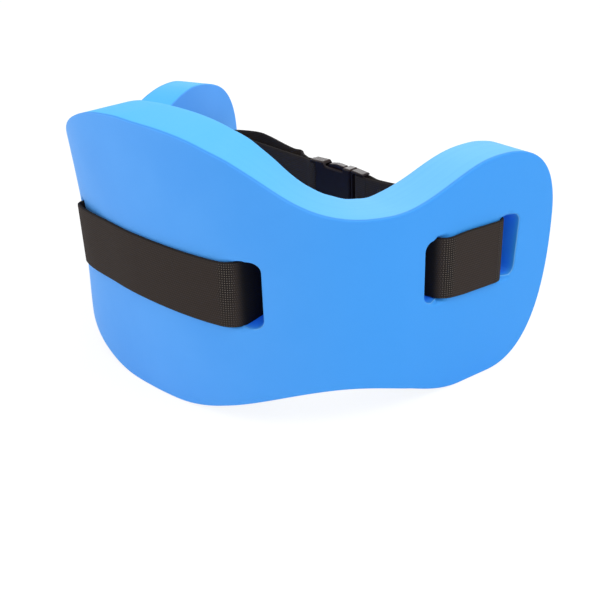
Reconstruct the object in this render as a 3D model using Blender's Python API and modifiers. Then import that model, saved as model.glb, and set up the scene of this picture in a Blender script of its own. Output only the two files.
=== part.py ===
"""Swim belt: a thick three-lobed foam slab bent round the wearer's back, a flat
webbing belt woven through six slots in it, and a side-release buckle in front.

Metres, +Z up. The belt stands on the flat bottoms of its lobes at Z = 0. The
middle of the back faces -Y, the buckle is on the +Y side, and the foam is
symmetric about X = 0.

Two working frames are used below:
  slab frame    s along the middle surface of the bent slab from the middle of
                the back, n out of its outer face, z up;
  buckle frame  u along the buckle from its mouth towards the plug, v away from
                the wearer, w up.
"""

import math

import bmesh
import bpy
from mathutils import Matrix, Vector

# Foam slab, as it is cut from flat sheet. Places along it are shares of its half
# length, from the middle of the back
SLAB_HALF_LENGTH = 0.328
SLAB_THICK = 0.041
SLAB_EDGE_ROUND = 0.0025
BACK_TOP = 0.2164
WAIST_TOP = 0.1556
WAIST_TOP_SHARE = 0.5183
WING_TOP = 0.1774
WING_TOP_SHARE = 0.8079
WING_TIP_HEIGHT = 0.1167
WAIST_BOTTOM = 0.0280
WAIST_BOTTOM_SHARE = 0.4146
BACK_FOOT_HALF = 0.020
WING_FOOT_HALF = 0.015
WING_FOOT_SHARE = 0.7683
OUTLINE_STEPS = 12

# How far each curve of the outline runs on level before it turns, at its two
# ends, as shares of the distance between the two points that it joins
BACK_CREST_SHARES = (0.635, 0.464)
WING_RISE_SHARES = (0.388, 0.343)
WING_SHOULDER_SHARES = (0.698, 0.676)
WING_HEEL_SHARES = (0.660, 0.649)
WAIST_OUTER_SHARES = (0.357, 0.368)
WAIST_INNER_SHARES = (0.350, 0.394)

# Bend of the slab round the wearer: a slack arc over the back, a tight arc at
# each side, then straight wings
BACK_RADIUS = 0.265
BACK_ARC_HALF = 0.066
SIDE_RADIUS = 0.111
SIDE_ARC = 0.122
BEND_STEP = 0.0085

# Webbing and the slots that it is woven through
WEB_WIDTH = 0.050
WEB_THICK = 0.0024
WEB_HEIGHT = 0.1059
WEB_FOLD_RADIUS = 0.0040
WEB_STEP = 0.006
FOLD_STEPS = 6
SLOT_WIDTH = 0.018
SLOT_END_SPARE = 0.0012
SLOT_CORNER_RADIUS = 0.0025
SLOT_CORNER_STEPS = 4
BACK_SLOT_SHARE = 0.2595
SIDE_SLOT_SHARE = 0.6311
WING_SLOT_SHARE = 0.8620
WEB_SLOT_SPARE = 0.0008

# Where the buckle lies: its mouth, from the middle of the back, its turn, and how
# far it hangs below the webbing's level in the slab
BUCKLE_MOUTH_X = 0.035
BUCKLE_MOUTH_DEPTH = 0.1815
BUCKLE_TURN = math.radians(-6.0)
BUCKLE_DROP = 0.0022

# Buckle socket
SOCKET_LENGTH = 0.050
SOCKET_WIDTH = 0.0562
SOCKET_THICK = 0.0108
SOCKET_WALL = 0.0020
SOCKET_FACE_WALL = 0.0021
SOCKET_EDGE_ROUND = 0.0014
SOCKET_CAVITY_LENGTH = 0.038
SOCKET_MOUTH_BAND = 0.0090
WINDOW_FROM_MOUTH = 0.0300
WINDOW_RAMP = 0.0035
WINDOW_WAIST = 0.0036
BAR_RADIUS = 0.0025
BAR_CAGE_LENGTH = 0.0083
RAIL_WIDTH = 0.0025
RAIL_TAPER = 0.0010
RAIL_CORNER_RADIUS = 0.0020
CORNER_STEPS = 4

# Buckle plug
PLUG_LENGTH = 0.0150
PLUG_THICK = 0.0090
PLUG_EDGE_ROUND = 0.0010
PLUG_BAR_RADIUS = 0.0017
SHOULDER_LENGTH = 0.0022
MIDDLE_BAR_AT = 0.0075
PLUG_END_TAPER = 0.0012
TONGUE_LENGTH = 0.030
TONGUE_WIDTH = 0.011
TONGUE_THICK = 0.0052
TONGUE_TIP_TAPER = 0.0025

# Release arms of the plug
ARM_LENGTH = 0.0355
ARM_THICK = 0.0056
ARM_EDGE_ROUND = 0.0006
ARM_ROOT_INNER = 0.0140
ARM_ROOT_OUTER = 0.0190
ARM_TIP_INNER = 0.0165
ARM_TIP_OUTER = 0.0205
PAD_PROUD = 0.0006
PAD_LOCK_GAP = 0.0005
PAD_LENGTH = 0.0175
PAD_NECK_RISE = 0.0010

# Ends of the webbing: the layer sewn back on the plug's side, and the loose
# adjusting tail on the socket's side, which ends clear of the left wing.
# Its bends are shares of how far it reaches and of how far it bulges away
LAYER_JOIN = 0.0105
SEWN_LENGTH = 0.034
TAIL_WING_GAP = 0.0087981
TAIL_BULGE = 0.022
TAIL_BEND_SHARES = (
    (0.160, 0.24),
    (0.235, 0.51),
    (0.305, 0.46),
    (0.460, 0.64),
    (0.640, 0.89),
    (0.780, 0.98),
    (0.910, 0.70),
    (1.000, 0.30),
)
TAIL_STEPS = 5
TAIL_HEM = 0.010

# How far the free strap runs on in its first direction at each of its ends
LEFT_WING_REACH = 0.012
LEFT_BUCKLE_REACH = 0.060
RIGHT_WING_REACH = 0.024
RIGHT_BUCKLE_REACH = 0.037
FREE_STRAP_STEPS = 16

# Fits
GAP = 0.0003
LAYER_GAP = 0.0003
OVERRUN = 0.003

MATERIALS = {
    "foam": ((0.075, 0.36, 0.92, 1.0), 0.62, 0.0),
    "webbing": ((0.040, 0.034, 0.030, 1.0), 0.85, 0.0),
    "buckle": ((0.012, 0.011, 0.012, 1.0), 0.22, 0.0),
}


def clear_scene():
    """Remove every object that the file opens with."""
    for old in list(bpy.data.objects):
        bpy.data.objects.remove(old, do_unlink=True)


def new_collection(name):
    """A collection of its own in the scene."""
    group = bpy.data.collections.new(name)
    bpy.context.scene.collection.children.link(group)
    return group


def make_material(name):
    """Principled material with this finish's colour, roughness and metallic."""
    colour, roughness, metallic = MATERIALS[name]
    material = bpy.data.materials.new(name)
    material.use_nodes = True
    shader = material.node_tree.nodes["Principled BSDF"]
    shader.inputs["Base Color"].default_value = colour
    shader.inputs["Roughness"].default_value = roughness
    shader.inputs["Metallic"].default_value = metallic
    material.diffuse_color = colour
    return material


def link_mesh(name, mesh, group):
    """Object with this mesh in the group."""
    piece = bpy.data.objects.new(name, mesh)
    group.objects.link(piece)
    return piece


def finish_piece(piece, material, smooth_angle=math.radians(30.0)):
    """Give the piece its material and smooth shading with sharp edges kept."""
    piece.data.materials.clear()
    piece.data.materials.append(material)
    piece.data.shade_smooth()
    piece.data.set_sharp_from_angle(angle=smooth_angle)


# Slab frame


def side_end():
    """Arc length from the middle of the back to where the straight wing starts."""
    return BACK_ARC_HALF + SIDE_ARC


def on_arc(start, heading, radius, run):
    """Point and heading after a run along an arc that turns left."""
    x = start[0] + radius * (math.sin(heading + run / radius) - math.sin(heading))
    y = start[1] - radius * (math.cos(heading + run / radius) - math.cos(heading))
    return (x, y), heading + run / radius


def plan_of_middle(s):
    """Plan point and heading of the slab's middle surface at arc length s."""
    reach = abs(s)
    point, heading = on_arc((0.0, 0.0), 0.0, BACK_RADIUS, min(reach, BACK_ARC_HALF))
    if reach > BACK_ARC_HALF:
        run = min(reach, side_end()) - BACK_ARC_HALF
        point, heading = on_arc(point, heading, SIDE_RADIUS, run)
    if reach > side_end():
        run = reach - side_end()
        point = (point[0] + run * math.cos(heading), point[1] + run * math.sin(heading))
    if s < 0.0:
        return (-point[0], point[1]), -heading
    return point, heading


def slab_plan(s, n):
    """Plan point at arc length s and height n over the middle surface."""
    (x, y), heading = plan_of_middle(s)
    return Vector((x + n * math.sin(heading), y - n * math.cos(heading)))


def depth_centre():
    """Depth of the middle of the belt's bounding box from the middle of the back."""
    front = -(SLAB_THICK / 2.0 + LAYER_GAP + WEB_THICK)
    back = slab_plan(SLAB_HALF_LENGTH, -SLAB_THICK / 2.0 + SLAB_EDGE_ROUND).y
    return (front + back) / 2.0


def slab_point(s, n, z):
    """World point of a point in the slab frame."""
    place = slab_plan(s, n)
    return Vector((place.x, place.y - depth_centre(), z))


# Buckle frame


def buckle_matrix():
    """Placement of the buckle frame in the world."""
    depth = BUCKLE_MOUTH_DEPTH - depth_centre()
    place = Vector((BUCKLE_MOUTH_X, depth, WEB_HEIGHT - BUCKLE_DROP))
    return Matrix.Translation(place) @ Matrix.Rotation(BUCKLE_TURN, 4, "Z")


def buckle_plan(u, v):
    """Plan point, from the middle of the back, of a point in the buckle frame."""
    turned = Matrix.Rotation(BUCKLE_TURN, 2) @ Vector((u, v))
    return turned + Vector((BUCKLE_MOUTH_X, BUCKLE_MOUTH_DEPTH))


def buckle_direction():
    """Unit plan direction along the buckle, from its mouth towards the plug."""
    return Matrix.Rotation(BUCKLE_TURN, 2) @ Vector((1.0, 0.0))


# Outlines and flat solids


def rounded_outline(corners, steps=CORNER_STEPS):
    """Closed outline of (x, y, corner radius) corners, each turned by an arc."""
    points = []
    count = len(corners)
    for index, (x, y, radius) in enumerate(corners):
        here = Vector((x, y))
        before = (Vector(corners[index - 1][:2]) - here).normalized()
        after = (Vector(corners[(index + 1) % count][:2]) - here).normalized()
        if radius == 0.0:
            points.append(here)
            continue
        points += corner_arc(here, before, after, radius, steps)
    return points


def corner_arc(here, before, after, radius, steps):
    """Points of the arc that rounds a corner between two unit directions."""
    half = before.angle(after) / 2.0
    centre = here + (before + after).normalized() * (radius / math.sin(half))
    first = here + before * (radius / math.tan(half)) - centre
    last = here + after * (radius / math.tan(half)) - centre
    turn = math.atan2(first.cross(last), first.dot(last))
    return [centre + Matrix.Rotation(turn * k / steps, 2) @ first for k in range(steps + 1)]


def signed_area(points):
    """Area inside a closed outline, positive when it runs anticlockwise."""
    total = sum(a.cross(b) for a, b in zip(points, points[1:] + points[:1]))
    return total / 2.0


def flat_curve(name, thick, edge_round, group):
    """Empty 2D curve, filled on both sides, that extrudes to a thickness."""
    curve = bpy.data.curves.new(name, "CURVE")
    curve.dimensions = "2D"
    curve.fill_mode = "BOTH"
    curve.extrude = thick / 2.0 - edge_round
    curve.bevel_depth = edge_round
    curve.bevel_resolution = 1
    curve.offset = -edge_round
    outline = bpy.data.objects.new(name, curve)
    group.objects.link(outline)
    return outline


def add_polygon(curve, points):
    """Closed straight-sided spline in a curve."""
    spline = curve.splines.new("POLY")
    spline.points.add(len(points) - 1)
    for knot, point in zip(spline.points, points):
        knot.co = (point[0], point[1], 0.0, 1.0)
    spline.use_cyclic_u = True


def curve_to_mesh(outline):
    """Welded mesh of a curve object, which is removed."""
    depsgraph = bpy.context.evaluated_depsgraph_get()
    mesh = bpy.data.meshes.new_from_object(outline.evaluated_get(depsgraph))
    mesh.name = outline.name
    bpy.data.objects.remove(outline, do_unlink=True)
    shape = bmesh.new()
    shape.from_mesh(mesh)
    bmesh.ops.remove_doubles(shape, verts=shape.verts, dist=GAP / 30.0)
    bmesh.ops.recalc_face_normals(shape, faces=shape.faces)
    shape.to_mesh(mesh)
    shape.free()
    return mesh


def flat_solid(name, points, thick, group, edge_round=0.0):
    """Closed solid of an outline, centred on its own plane."""
    outline = flat_curve(name, thick, edge_round, group)
    if signed_area(points) < 0.0:
        points = points[::-1]
    add_polygon(outline.data, points)
    return link_mesh(name, curve_to_mesh(outline), group)


def upright(piece):
    """Turn a solid drawn in x and y so that it stands in u and w."""
    piece.data.transform(Matrix.Rotation(math.radians(90.0), 4, "X"))


def box_solid(name, low, high, group):
    """Box between two corners."""
    shape = bmesh.new()
    bmesh.ops.create_cube(shape, size=1.0)
    size = Vector(high) - Vector(low)
    middle = (Vector(high) + Vector(low)) / 2.0
    shape.transform(Matrix.Translation(middle) @ Matrix.Diagonal((*size, 1.0)))
    mesh = bpy.data.meshes.new(name)
    shape.to_mesh(mesh)
    shape.free()
    return link_mesh(name, mesh, group)


def bar_solid(name, u, radius, length, group):
    """Round bar along w at one place in the buckle frame."""
    shape = bmesh.new()
    bmesh.ops.create_cone(
        shape,
        cap_ends=True,
        segments=16,
        radius1=radius,
        radius2=radius,
        depth=length,
    )
    shape.transform(Matrix.Translation((u, 0.0, 0.0)))
    mesh = bpy.data.meshes.new(name)
    shape.to_mesh(mesh)
    shape.free()
    return link_mesh(name, mesh, group)


def combine(piece, other, operation):
    """Boolean of two solids with the exact solver. The second is hidden."""
    other.hide_render = True
    other.display_type = "WIRE"
    change = piece.modifiers.new(operation.lower(), "BOOLEAN")
    change.operation = operation
    change.solver = "EXACT"
    change.object = other


def settle(piece):
    """Apply the piece's modifiers to its mesh."""
    depsgraph = bpy.context.evaluated_depsgraph_get()
    mesh = bpy.data.meshes.new_from_object(piece.evaluated_get(depsgraph))
    mesh.name = piece.name
    piece.modifiers.clear()
    piece.data = mesh


# Foam slab


def place_along(share):
    """Arc length from the middle of the back of a share of the slab's half length."""
    return share * SLAB_HALF_LENGTH


def outline_anchors():
    """Right half of the slab's outline, from the top of the back clockwise, as
    (point, handle before, handle after), each handle a step in s and z."""
    back_top = (0.0, BACK_TOP)
    waist_top = (place_along(WAIST_TOP_SHARE), WAIST_TOP)
    wing_top = (place_along(WING_TOP_SHARE), WING_TOP)
    tip = (SLAB_HALF_LENGTH, WING_TIP_HEIGHT)
    foot_to = (place_along(WING_FOOT_SHARE) + WING_FOOT_HALF, 0.0)
    foot_from = (place_along(WING_FOOT_SHARE) - WING_FOOT_HALF, 0.0)
    waist_bottom = (place_along(WAIST_BOTTOM_SHARE), WAIST_BOTTOM)
    back_foot = (BACK_FOOT_HALF, 0.0)

    def level(start, end, share):
        return ((end[0] - start[0]) * share, 0.0)

    def plumb(start, end, share):
        return (0.0, (end[1] - start[1]) * share)

    return [
        (back_top, None, level(back_top, waist_top, BACK_CREST_SHARES[0])),
        (
            waist_top,
            level(waist_top, back_top, BACK_CREST_SHARES[1]),
            level(waist_top, wing_top, WING_RISE_SHARES[0]),
        ),
        (
            wing_top,
            level(wing_top, waist_top, WING_RISE_SHARES[1]),
            level(wing_top, tip, WING_SHOULDER_SHARES[0]),
        ),
        (
            tip,
            plumb(tip, wing_top, WING_SHOULDER_SHARES[1]),
            plumb(tip, foot_to, WING_HEEL_SHARES[0]),
        ),
        (foot_to, level(foot_to, tip, WING_HEEL_SHARES[1]), (0.0, 0.0)),
        (foot_from, (0.0, 0.0), level(foot_from, waist_bottom, WAIST_OUTER_SHARES[0])),
        (
            waist_bottom,
            level(waist_bottom, foot_from, WAIST_OUTER_SHARES[1]),
            level(waist_bottom, back_foot, WAIST_INNER_SHARES[0]),
        ),
        (back_foot, level(back_foot, waist_bottom, WAIST_INNER_SHARES[1]), (0.0, 0.0)),
    ]


def mirrored_anchors(right):
    """The whole outline's anchors, clockwise, from those of the right half."""
    top = right[0]
    whole = [(top[0], (-top[2][0], top[2][1]), top[2])] + right[1:]
    for point, before, after in reversed(right[1:]):
        flipped = (-point[0], point[1])
        whole.append((flipped, (-after[0], after[1]), (-before[0], before[1])))
    return whole


def add_lobed_outline(curve):
    """Bezier spline of the slab's outline, run anticlockwise."""
    anchors = [(p, after, before) for p, before, after in mirrored_anchors(outline_anchors())]
    anchors.reverse()
    spline = curve.splines.new("BEZIER")
    spline.resolution_u = OUTLINE_STEPS
    spline.bezier_points.add(len(anchors) - 1)
    for knot, (point, before, after) in zip(spline.bezier_points, anchors):
        knot.handle_left_type = "FREE"
        knot.handle_right_type = "FREE"
        knot.co = (point[0], point[1], 0.0)
        knot.handle_left = (point[0] + before[0], point[1] + before[1], 0.0)
        knot.handle_right = (point[0] + after[0], point[1] + after[1], 0.0)
    spline.use_cyclic_u = True


def slot_outline(s):
    """Outline of a webbing slot, run clockwise because it is a hole."""
    half_width = SLOT_WIDTH / 2.0
    half_height = WEB_WIDTH / 2.0 + SLOT_END_SPARE
    radius = SLOT_CORNER_RADIUS
    corners = [
        (s - half_width, WEB_HEIGHT - half_height, radius),
        (s - half_width, WEB_HEIGHT + half_height, radius),
        (s + half_width, WEB_HEIGHT + half_height, radius),
        (s + half_width, WEB_HEIGHT - half_height, radius),
    ]
    return rounded_outline(corners, SLOT_CORNER_STEPS)


def bend_lines():
    """Arc lengths at which the flat slab is scored so that it can bend."""
    lines = []
    for start, run in ((0.0, BACK_ARC_HALF), (BACK_ARC_HALF, SIDE_ARC)):
        count = math.ceil(run / BEND_STEP)
        lines += [start + run * k / count for k in range(count)]
    lines.append(side_end())
    return sorted({side * s for s in lines for side in (-1.0, 1.0)})


def score(shape, s):
    """Cut a line across the flat slab's mesh at one arc length."""
    everything = shape.verts[:] + shape.edges[:] + shape.faces[:]
    bmesh.ops.bisect_plane(
        shape,
        geom=everything,
        dist=GAP / 30.0,
        plane_co=(s, 0.0, 0.0),
        plane_no=(1.0, 0.0, 0.0),
    )


def build_foam(group, material):
    """Die-cut slab with six slots, scored flat and then bent to its plan."""
    outline = flat_curve("foam_float", SLAB_THICK, SLAB_EDGE_ROUND, group)
    add_lobed_outline(outline.data)
    for share in (BACK_SLOT_SHARE, SIDE_SLOT_SHARE, WING_SLOT_SHARE):
        for side in (-1.0, 1.0):
            add_polygon(outline.data, slot_outline(side * place_along(share)))
    mesh = curve_to_mesh(outline)
    shape = bmesh.new()
    shape.from_mesh(mesh)
    for s in bend_lines():
        score(shape, s)
    for vert in shape.verts:
        vert.co = slab_point(vert.co.x, vert.co.z, vert.co.y)
    bmesh.ops.recalc_face_normals(shape, faces=shape.faces)
    shape.to_mesh(mesh)
    shape.free()
    foam = link_mesh("foam_float", mesh, group)
    finish_piece(foam, material)


# Webbing


def web_lift():
    """Distance of the webbing's middle from the slab's middle surface."""
    return SLAB_THICK / 2.0 + LAYER_GAP + WEB_THICK / 2.0


def web_inset():
    """Distance of the webbing's middle from the slot wall that it rounds."""
    return WEB_THICK / 2.0 + GAP + WEB_SLOT_SPARE


def filleted_path(corners, radius):
    """Open path through corners, each turned by an arc."""
    points = [Vector(corners[0])]
    for before, here, after in zip(corners, corners[1:], corners[2:]):
        here = Vector(here)
        inward = (Vector(before) - here).normalized()
        onward = (Vector(after) - here).normalized()
        points += corner_arc(here, inward, onward, radius, FOLD_STEPS)
    points.append(Vector(corners[-1]))
    return points


def even_path(points, step):
    """The path with its long runs split so that no two points lie far apart."""
    result = [points[0]]
    for start, end in zip(points, points[1:]):
        count = max(1, round((end - start).length / step))
        result += [start.lerp(end, k / count) for k in range(1, count + 1)]
    return result


def bezier_path(start, start_step, end_step, end, count):
    """Points of one Bezier curve between two points with their handle steps."""
    first = start + start_step
    second = end + end_step
    points = []
    for k in range(count + 1):
        t = k / count
        r = 1.0 - t
        point = start * r**3 + first * (3 * r * r * t) + second * (3 * r * t * t) + end * t**3
        points.append(point)
    return points


def woven_half():
    """The webbing's way through one half of the slab, as (s, n) corners from
    the middle of the back to the outer face of the wing slot."""
    lift = web_lift()
    near = web_inset() - SLOT_WIDTH / 2.0
    far = SLOT_WIDTH / 2.0 - web_inset()
    return [
        (place_along(BACK_SLOT_SHARE) + near, lift),
        (place_along(BACK_SLOT_SHARE) + far, -lift),
        (place_along(SIDE_SLOT_SHARE) + near, -lift),
        (place_along(SIDE_SLOT_SHARE) + far, lift),
        (place_along(WING_SLOT_SHARE) + near, lift),
    ]


def right_mouth():
    """Slab frame point where the webbing leaves the right wing slot."""
    return (place_along(WING_SLOT_SHARE) - SLOT_WIDTH / 2.0 + web_inset(), -web_lift())


def left_mouth():
    """Slab frame point where the webbing leaves the left wing slot."""
    far = place_along(WING_SLOT_SHARE) + SLOT_WIDTH / 2.0 - web_inset()
    return (-far, -web_lift())


def inward_of(mouth):
    """Unit plan direction in which the webbing leaves a wing slot."""
    return (slab_plan(*mouth) - slab_plan(mouth[0], 0.0)).normalized()


def woven_route():
    """Plan points of the webbing through the whole slab, from left to right."""
    right = woven_half()
    left = [(-s, n) for s, n in reversed(right)]
    left[0] = (left_mouth()[0], left[0][1])
    corners = [left_mouth()] + left + right + [right_mouth()]
    path = even_path(filleted_path(corners, WEB_FOLD_RADIUS), WEB_STEP)
    return [slab_plan(s, n) for s, n in path]


def level_drops(route, drop):
    """The same drop below the webbing's level at every point of a route."""
    return [drop] * len(route)


def easing_drops(route, start, end, first, last):
    """Drops that ease from one value to another over the free part of a route,
    between two of its points."""
    drops = []
    for index in range(len(route)):
        share = min(1.0, max(0.0, (index - first) / (last - first)))
        drops.append(start + (end - start) * share * share * (3.0 - 2.0 * share))
    return drops


def ribbon(name, route, drops, group, material):
    """Webbing on edge along a plan route: an upright strip with Solidify."""
    half = WEB_WIDTH / 2.0
    shape = bmesh.new()
    rows = []
    for point, drop in zip(route, drops):
        place = (point.x, point.y - depth_centre())
        level = WEB_HEIGHT - drop
        rows.append([shape.verts.new((*place, level + z)) for z in (-half, half)])
    for (a, b), (d, c) in zip(rows, rows[1:]):
        shape.faces.new((a, d, c, b))
    mesh = bpy.data.meshes.new(name)
    shape.to_mesh(mesh)
    shape.free()
    piece = link_mesh(name, mesh, group)
    thicken = piece.modifiers.new("thickness", "SOLIDIFY")
    thicken.thickness = WEB_THICK
    thicken.offset = 0.0
    thicken.use_even_offset = True
    settle(piece)
    finish_piece(piece, material)
    return piece


def bar_lap(radius):
    """Distance of the webbing's middle from the middle of a bar."""
    return radius + LAYER_GAP + WEB_THICK / 2.0


def layer_lap():
    """Distance of a webbing layer's middle from the face of its doubled strap."""
    return (WEB_THICK + LAYER_GAP) / 2.0


def socket_bar_at():
    """Place of the socket's bar along the buckle."""
    return -(SOCKET_LENGTH - BAR_RADIUS)


def lap_spread(share):
    """Layer's distance from the strap's middle, from joined (0) to the bar (1)."""
    eased = share * share * (3.0 - 2.0 * share)
    return layer_lap() + (bar_lap(BAR_RADIUS) - layer_lap()) * eased


def bar_turn(u, radius, direction):
    """Half turn of webbing round a bar, from the wearer's side, on the side that
    direction gives."""
    steps = 3 * FOLD_STEPS
    lap = bar_lap(radius)
    points = []
    for k in range(steps + 1):
        angle = math.pi * k / steps
        points.append((u + direction * lap * math.sin(angle), -lap * math.cos(angle)))
    return points


def curve_through(points, steps):
    """Smooth path through plan points, by Catmull-Rom curves."""
    ends = [points[0] * 2.0 - points[1]] + points + [points[-1] * 2.0 - points[-2]]
    path = [points[0]]
    for before, start, end, after in zip(ends, ends[1:], ends[2:], ends[3:]):
        leave = start + (end - before) / 6.0
        arrive = end - (after - start) / 6.0
        path += bezier_path(start, leave - start, arrive - end, end, steps)[1:]
    return path


def tail_reach():
    """How far the loose tail reaches along the buckle from the bar, so that its
    end stays clear of the left wing's inner face."""
    start = buckle_plan(socket_bar_at(), TAIL_BULGE * TAIL_BEND_SHARES[-1][1])
    root = slab_plan(-side_end(), -SLAB_THICK / 2.0)
    tip = slab_plan(-SLAB_HALF_LENGTH, -SLAB_THICK / 2.0)
    wing = (tip - root).normalized()
    return (start - root).cross(wing) / buckle_direction().cross(wing) - TAIL_WING_GAP


def tail_route(start):
    """Plan points of the loose adjusting tail, from the doubled strap's outer
    layer to the hem that ends it."""
    bar = socket_bar_at()
    reach = tail_reach()
    bends = [(bar - reach * along, TAIL_BULGE * out) for along, out in TAIL_BEND_SHARES]
    points = curve_through([start] + [buckle_plan(u, v) for u, v in bends], TAIL_STEPS)
    return points[1:] + folded_hem(points)


def socket_end_route():
    """Plan points of the strap on the socket's side: straight from the left wing
    to the bar on the wearer's side, round the bar, and out as the loose tail."""
    bar = socket_bar_at()
    joined = bar - LAYER_JOIN
    mouth = slab_plan(*left_mouth()) + inward_of(left_mouth()) * GAP
    meet = buckle_plan(joined, -layer_lap())
    leave = inward_of(left_mouth()) * LEFT_WING_REACH
    back = buckle_direction() * -LEFT_BUCKLE_REACH
    free = bezier_path(mouth, leave, back, meet, FREE_STRAP_STEPS)
    shares = [k / FOLD_STEPS for k in range(1, FOLD_STEPS)]
    spread = [(joined + (bar - joined) * share, lap_spread(share)) for share in shares]
    layer = [(u, -v) for u, v in spread] + bar_turn(bar, BAR_RADIUS, 1.0)
    layer += [(u, v) for u, v in reversed(spread)] + [(joined, layer_lap())]
    loop = [buckle_plan(u, v) for u, v in layer]
    return free + loop + tail_route(loop[-1])


def socket_end_drops(route):
    """Drops of the strap on the socket's side, from the slab's level down to the
    buckle's."""
    return easing_drops(route, 0.0, BUCKLE_DROP, 0, FREE_STRAP_STEPS)


def free_route():
    """Plan points of the strap between the plug's end and the right wing slot."""
    start = buckle_plan(PLUG_LENGTH + GAP + WEB_THICK, -bar_lap(PLUG_BAR_RADIUS))
    inward = inward_of(right_mouth())
    mouth = slab_plan(*right_mouth()) + inward * GAP
    along = buckle_direction() * RIGHT_BUCKLE_REACH
    return bezier_path(start, along, inward * RIGHT_WING_REACH, mouth, FREE_STRAP_STEPS)


def sewn_layer_route():
    """Plan points of the layer that is sewn back along the strap on its outer
    side, as far as it lies free of the bars."""
    strap = free_route()
    lap = WEB_THICK + 2.0 * LAYER_GAP
    points = []
    run = 0.0
    for before, here, after in zip(strap, strap[1:], strap[2:]):
        run += (here - before).length
        if run > SEWN_LENGTH:
            break
        if run < LAYER_JOIN:
            continue
        across = (after - before).normalized()
        points.append(here + Vector((-across.y, across.x)) * lap)
    return points


def folded_hem(points):
    """Points that fold the end of a path back on its left side for a hem."""
    along = (points[-1] - points[-2]).normalized()
    left = Vector((-along.y, along.x))
    centre = points[-1] + left * layer_lap()
    turn = []
    for k in range(1, 2 * FOLD_STEPS + 1):
        angle = math.pi * k / (2 * FOLD_STEPS)
        turn.append(centre + (along * math.sin(angle) - left * math.cos(angle)) * layer_lap())
    return turn + [turn[-1] - along * TAIL_HEM]


def plug_end_route():
    """Plan points of the webbing on the plug: under the end bar, round the
    middle bar, over the end bar, then back along the strap."""
    end = PLUG_LENGTH + WEB_THICK
    lap = bar_lap(PLUG_BAR_RADIUS)
    layer = [(end, -lap)] + bar_turn(MIDDLE_BAR_AT, PLUG_BAR_RADIUS, -1.0)
    layer.append((PLUG_LENGTH - PLUG_BAR_RADIUS, lap))
    loop = even_path([buckle_plan(u, v) for u, v in layer], WEB_STEP)
    sewn = sewn_layer_route()
    along = buckle_direction() * (LAYER_JOIN / 2.0)
    back = (sewn[0] - sewn[1]).normalized() * (LAYER_JOIN / 2.0)
    join = bezier_path(loop[-1], along, back, sewn[0], FOLD_STEPS)
    return loop + join[1:] + sewn[1:]


# Buckle


def mirrored_outline(corners):
    """Whole outline from the upper corners of a piece symmetric about w = 0."""
    lower = [(u, -w, radius) for u, w, radius in reversed(corners)]
    return rounded_outline(corners + lower)


def bar_cage(name, from_u, to_u, group):
    """Cutter that opens the space between two side rails for the bars."""
    half = SOCKET_WIDTH / 2.0 - RAIL_WIDTH
    return box_solid(name, (from_u, -SOCKET_THICK, -half), (to_u, SOCKET_THICK, half), group)


def build_socket(group, cutters, material):
    """Socket: a flat hollow body with a mouth, two side windows and a bar."""
    half = SOCKET_WIDTH / 2.0
    waist = half - WINDOW_WAIST
    end = -SOCKET_LENGTH
    soft = RAIL_CORNER_RADIUS
    corners = [
        (end, half - RAIL_TAPER, soft),
        (end + BAR_CAGE_LENGTH, half - RAIL_TAPER / 2.0, soft),
        (-WINDOW_FROM_MOUTH - WINDOW_RAMP, half, soft),
        (-WINDOW_FROM_MOUTH, waist, soft),
        (-SOCKET_MOUTH_BAND, waist, GAP),
        (-SOCKET_MOUTH_BAND, half, SOCKET_EDGE_ROUND),
        (0.0, half, SOCKET_EDGE_ROUND),
    ]
    socket = flat_solid(
        "buckle_socket", mirrored_outline(corners), SOCKET_THICK, group, SOCKET_EDGE_ROUND
    )
    upright(socket)
    deep = SOCKET_THICK / 2.0 - SOCKET_FACE_WALL
    wide = half - SOCKET_WALL
    cavity = box_solid(
        "socket_cavity", (-SOCKET_CAVITY_LENGTH, -deep, -wide), (OVERRUN, deep, wide), cutters
    )
    combine(socket, cavity, "DIFFERENCE")
    cage = bar_cage("socket_cage", end - OVERRUN, end + BAR_CAGE_LENGTH, cutters)
    combine(socket, cage, "DIFFERENCE")
    length = SOCKET_WIDTH - RAIL_WIDTH
    bar = bar_solid("socket_bar", socket_bar_at(), BAR_RADIUS, length, cutters)
    combine(socket, bar, "UNION")
    settle(socket)
    socket.matrix_world = buckle_matrix()
    finish_piece(socket, material)


def build_plug(group, cutters, material):
    """Plug: a shoulder, two side rails with two bars, and a guide tongue."""
    half = SOCKET_WIDTH / 2.0
    soft = RAIL_CORNER_RADIUS
    corners = [
        (GAP, half, SOCKET_EDGE_ROUND),
        (PLUG_LENGTH, half - PLUG_END_TAPER, soft),
    ]
    plug = flat_solid(
        "buckle_plug", mirrored_outline(corners), PLUG_THICK, group, PLUG_EDGE_ROUND
    )
    upright(plug)
    cage = bar_cage("plug_cage", SHOULDER_LENGTH + GAP, PLUG_LENGTH + OVERRUN, cutters)
    combine(plug, cage, "DIFFERENCE")
    for name, u, length in (
        ("plug_middle_bar", MIDDLE_BAR_AT, SOCKET_WIDTH - RAIL_WIDTH),
        ("plug_end_bar", PLUG_LENGTH - PLUG_BAR_RADIUS, SOCKET_WIDTH - RAIL_WIDTH - PLUG_END_TAPER),
    ):
        combine(plug, bar_solid(name, u, PLUG_BAR_RADIUS, length, cutters), "UNION")
    tip = TONGUE_WIDTH / 2.0
    tongue_corners = [
        (-TONGUE_LENGTH, tip - TONGUE_TIP_TAPER, TONGUE_TIP_TAPER / 2.0),
        (TONGUE_TIP_TAPER * 2.0 - TONGUE_LENGTH, tip, TONGUE_TIP_TAPER / 2.0),
        (SHOULDER_LENGTH / 2.0, tip, 0.0),
    ]
    tongue = flat_solid("plug_tongue", mirrored_outline(tongue_corners), TONGUE_THICK, cutters)
    upright(tongue)
    combine(plug, tongue, "UNION")
    settle(plug)
    plug.matrix_world = buckle_matrix()
    finish_piece(plug, material)


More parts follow.
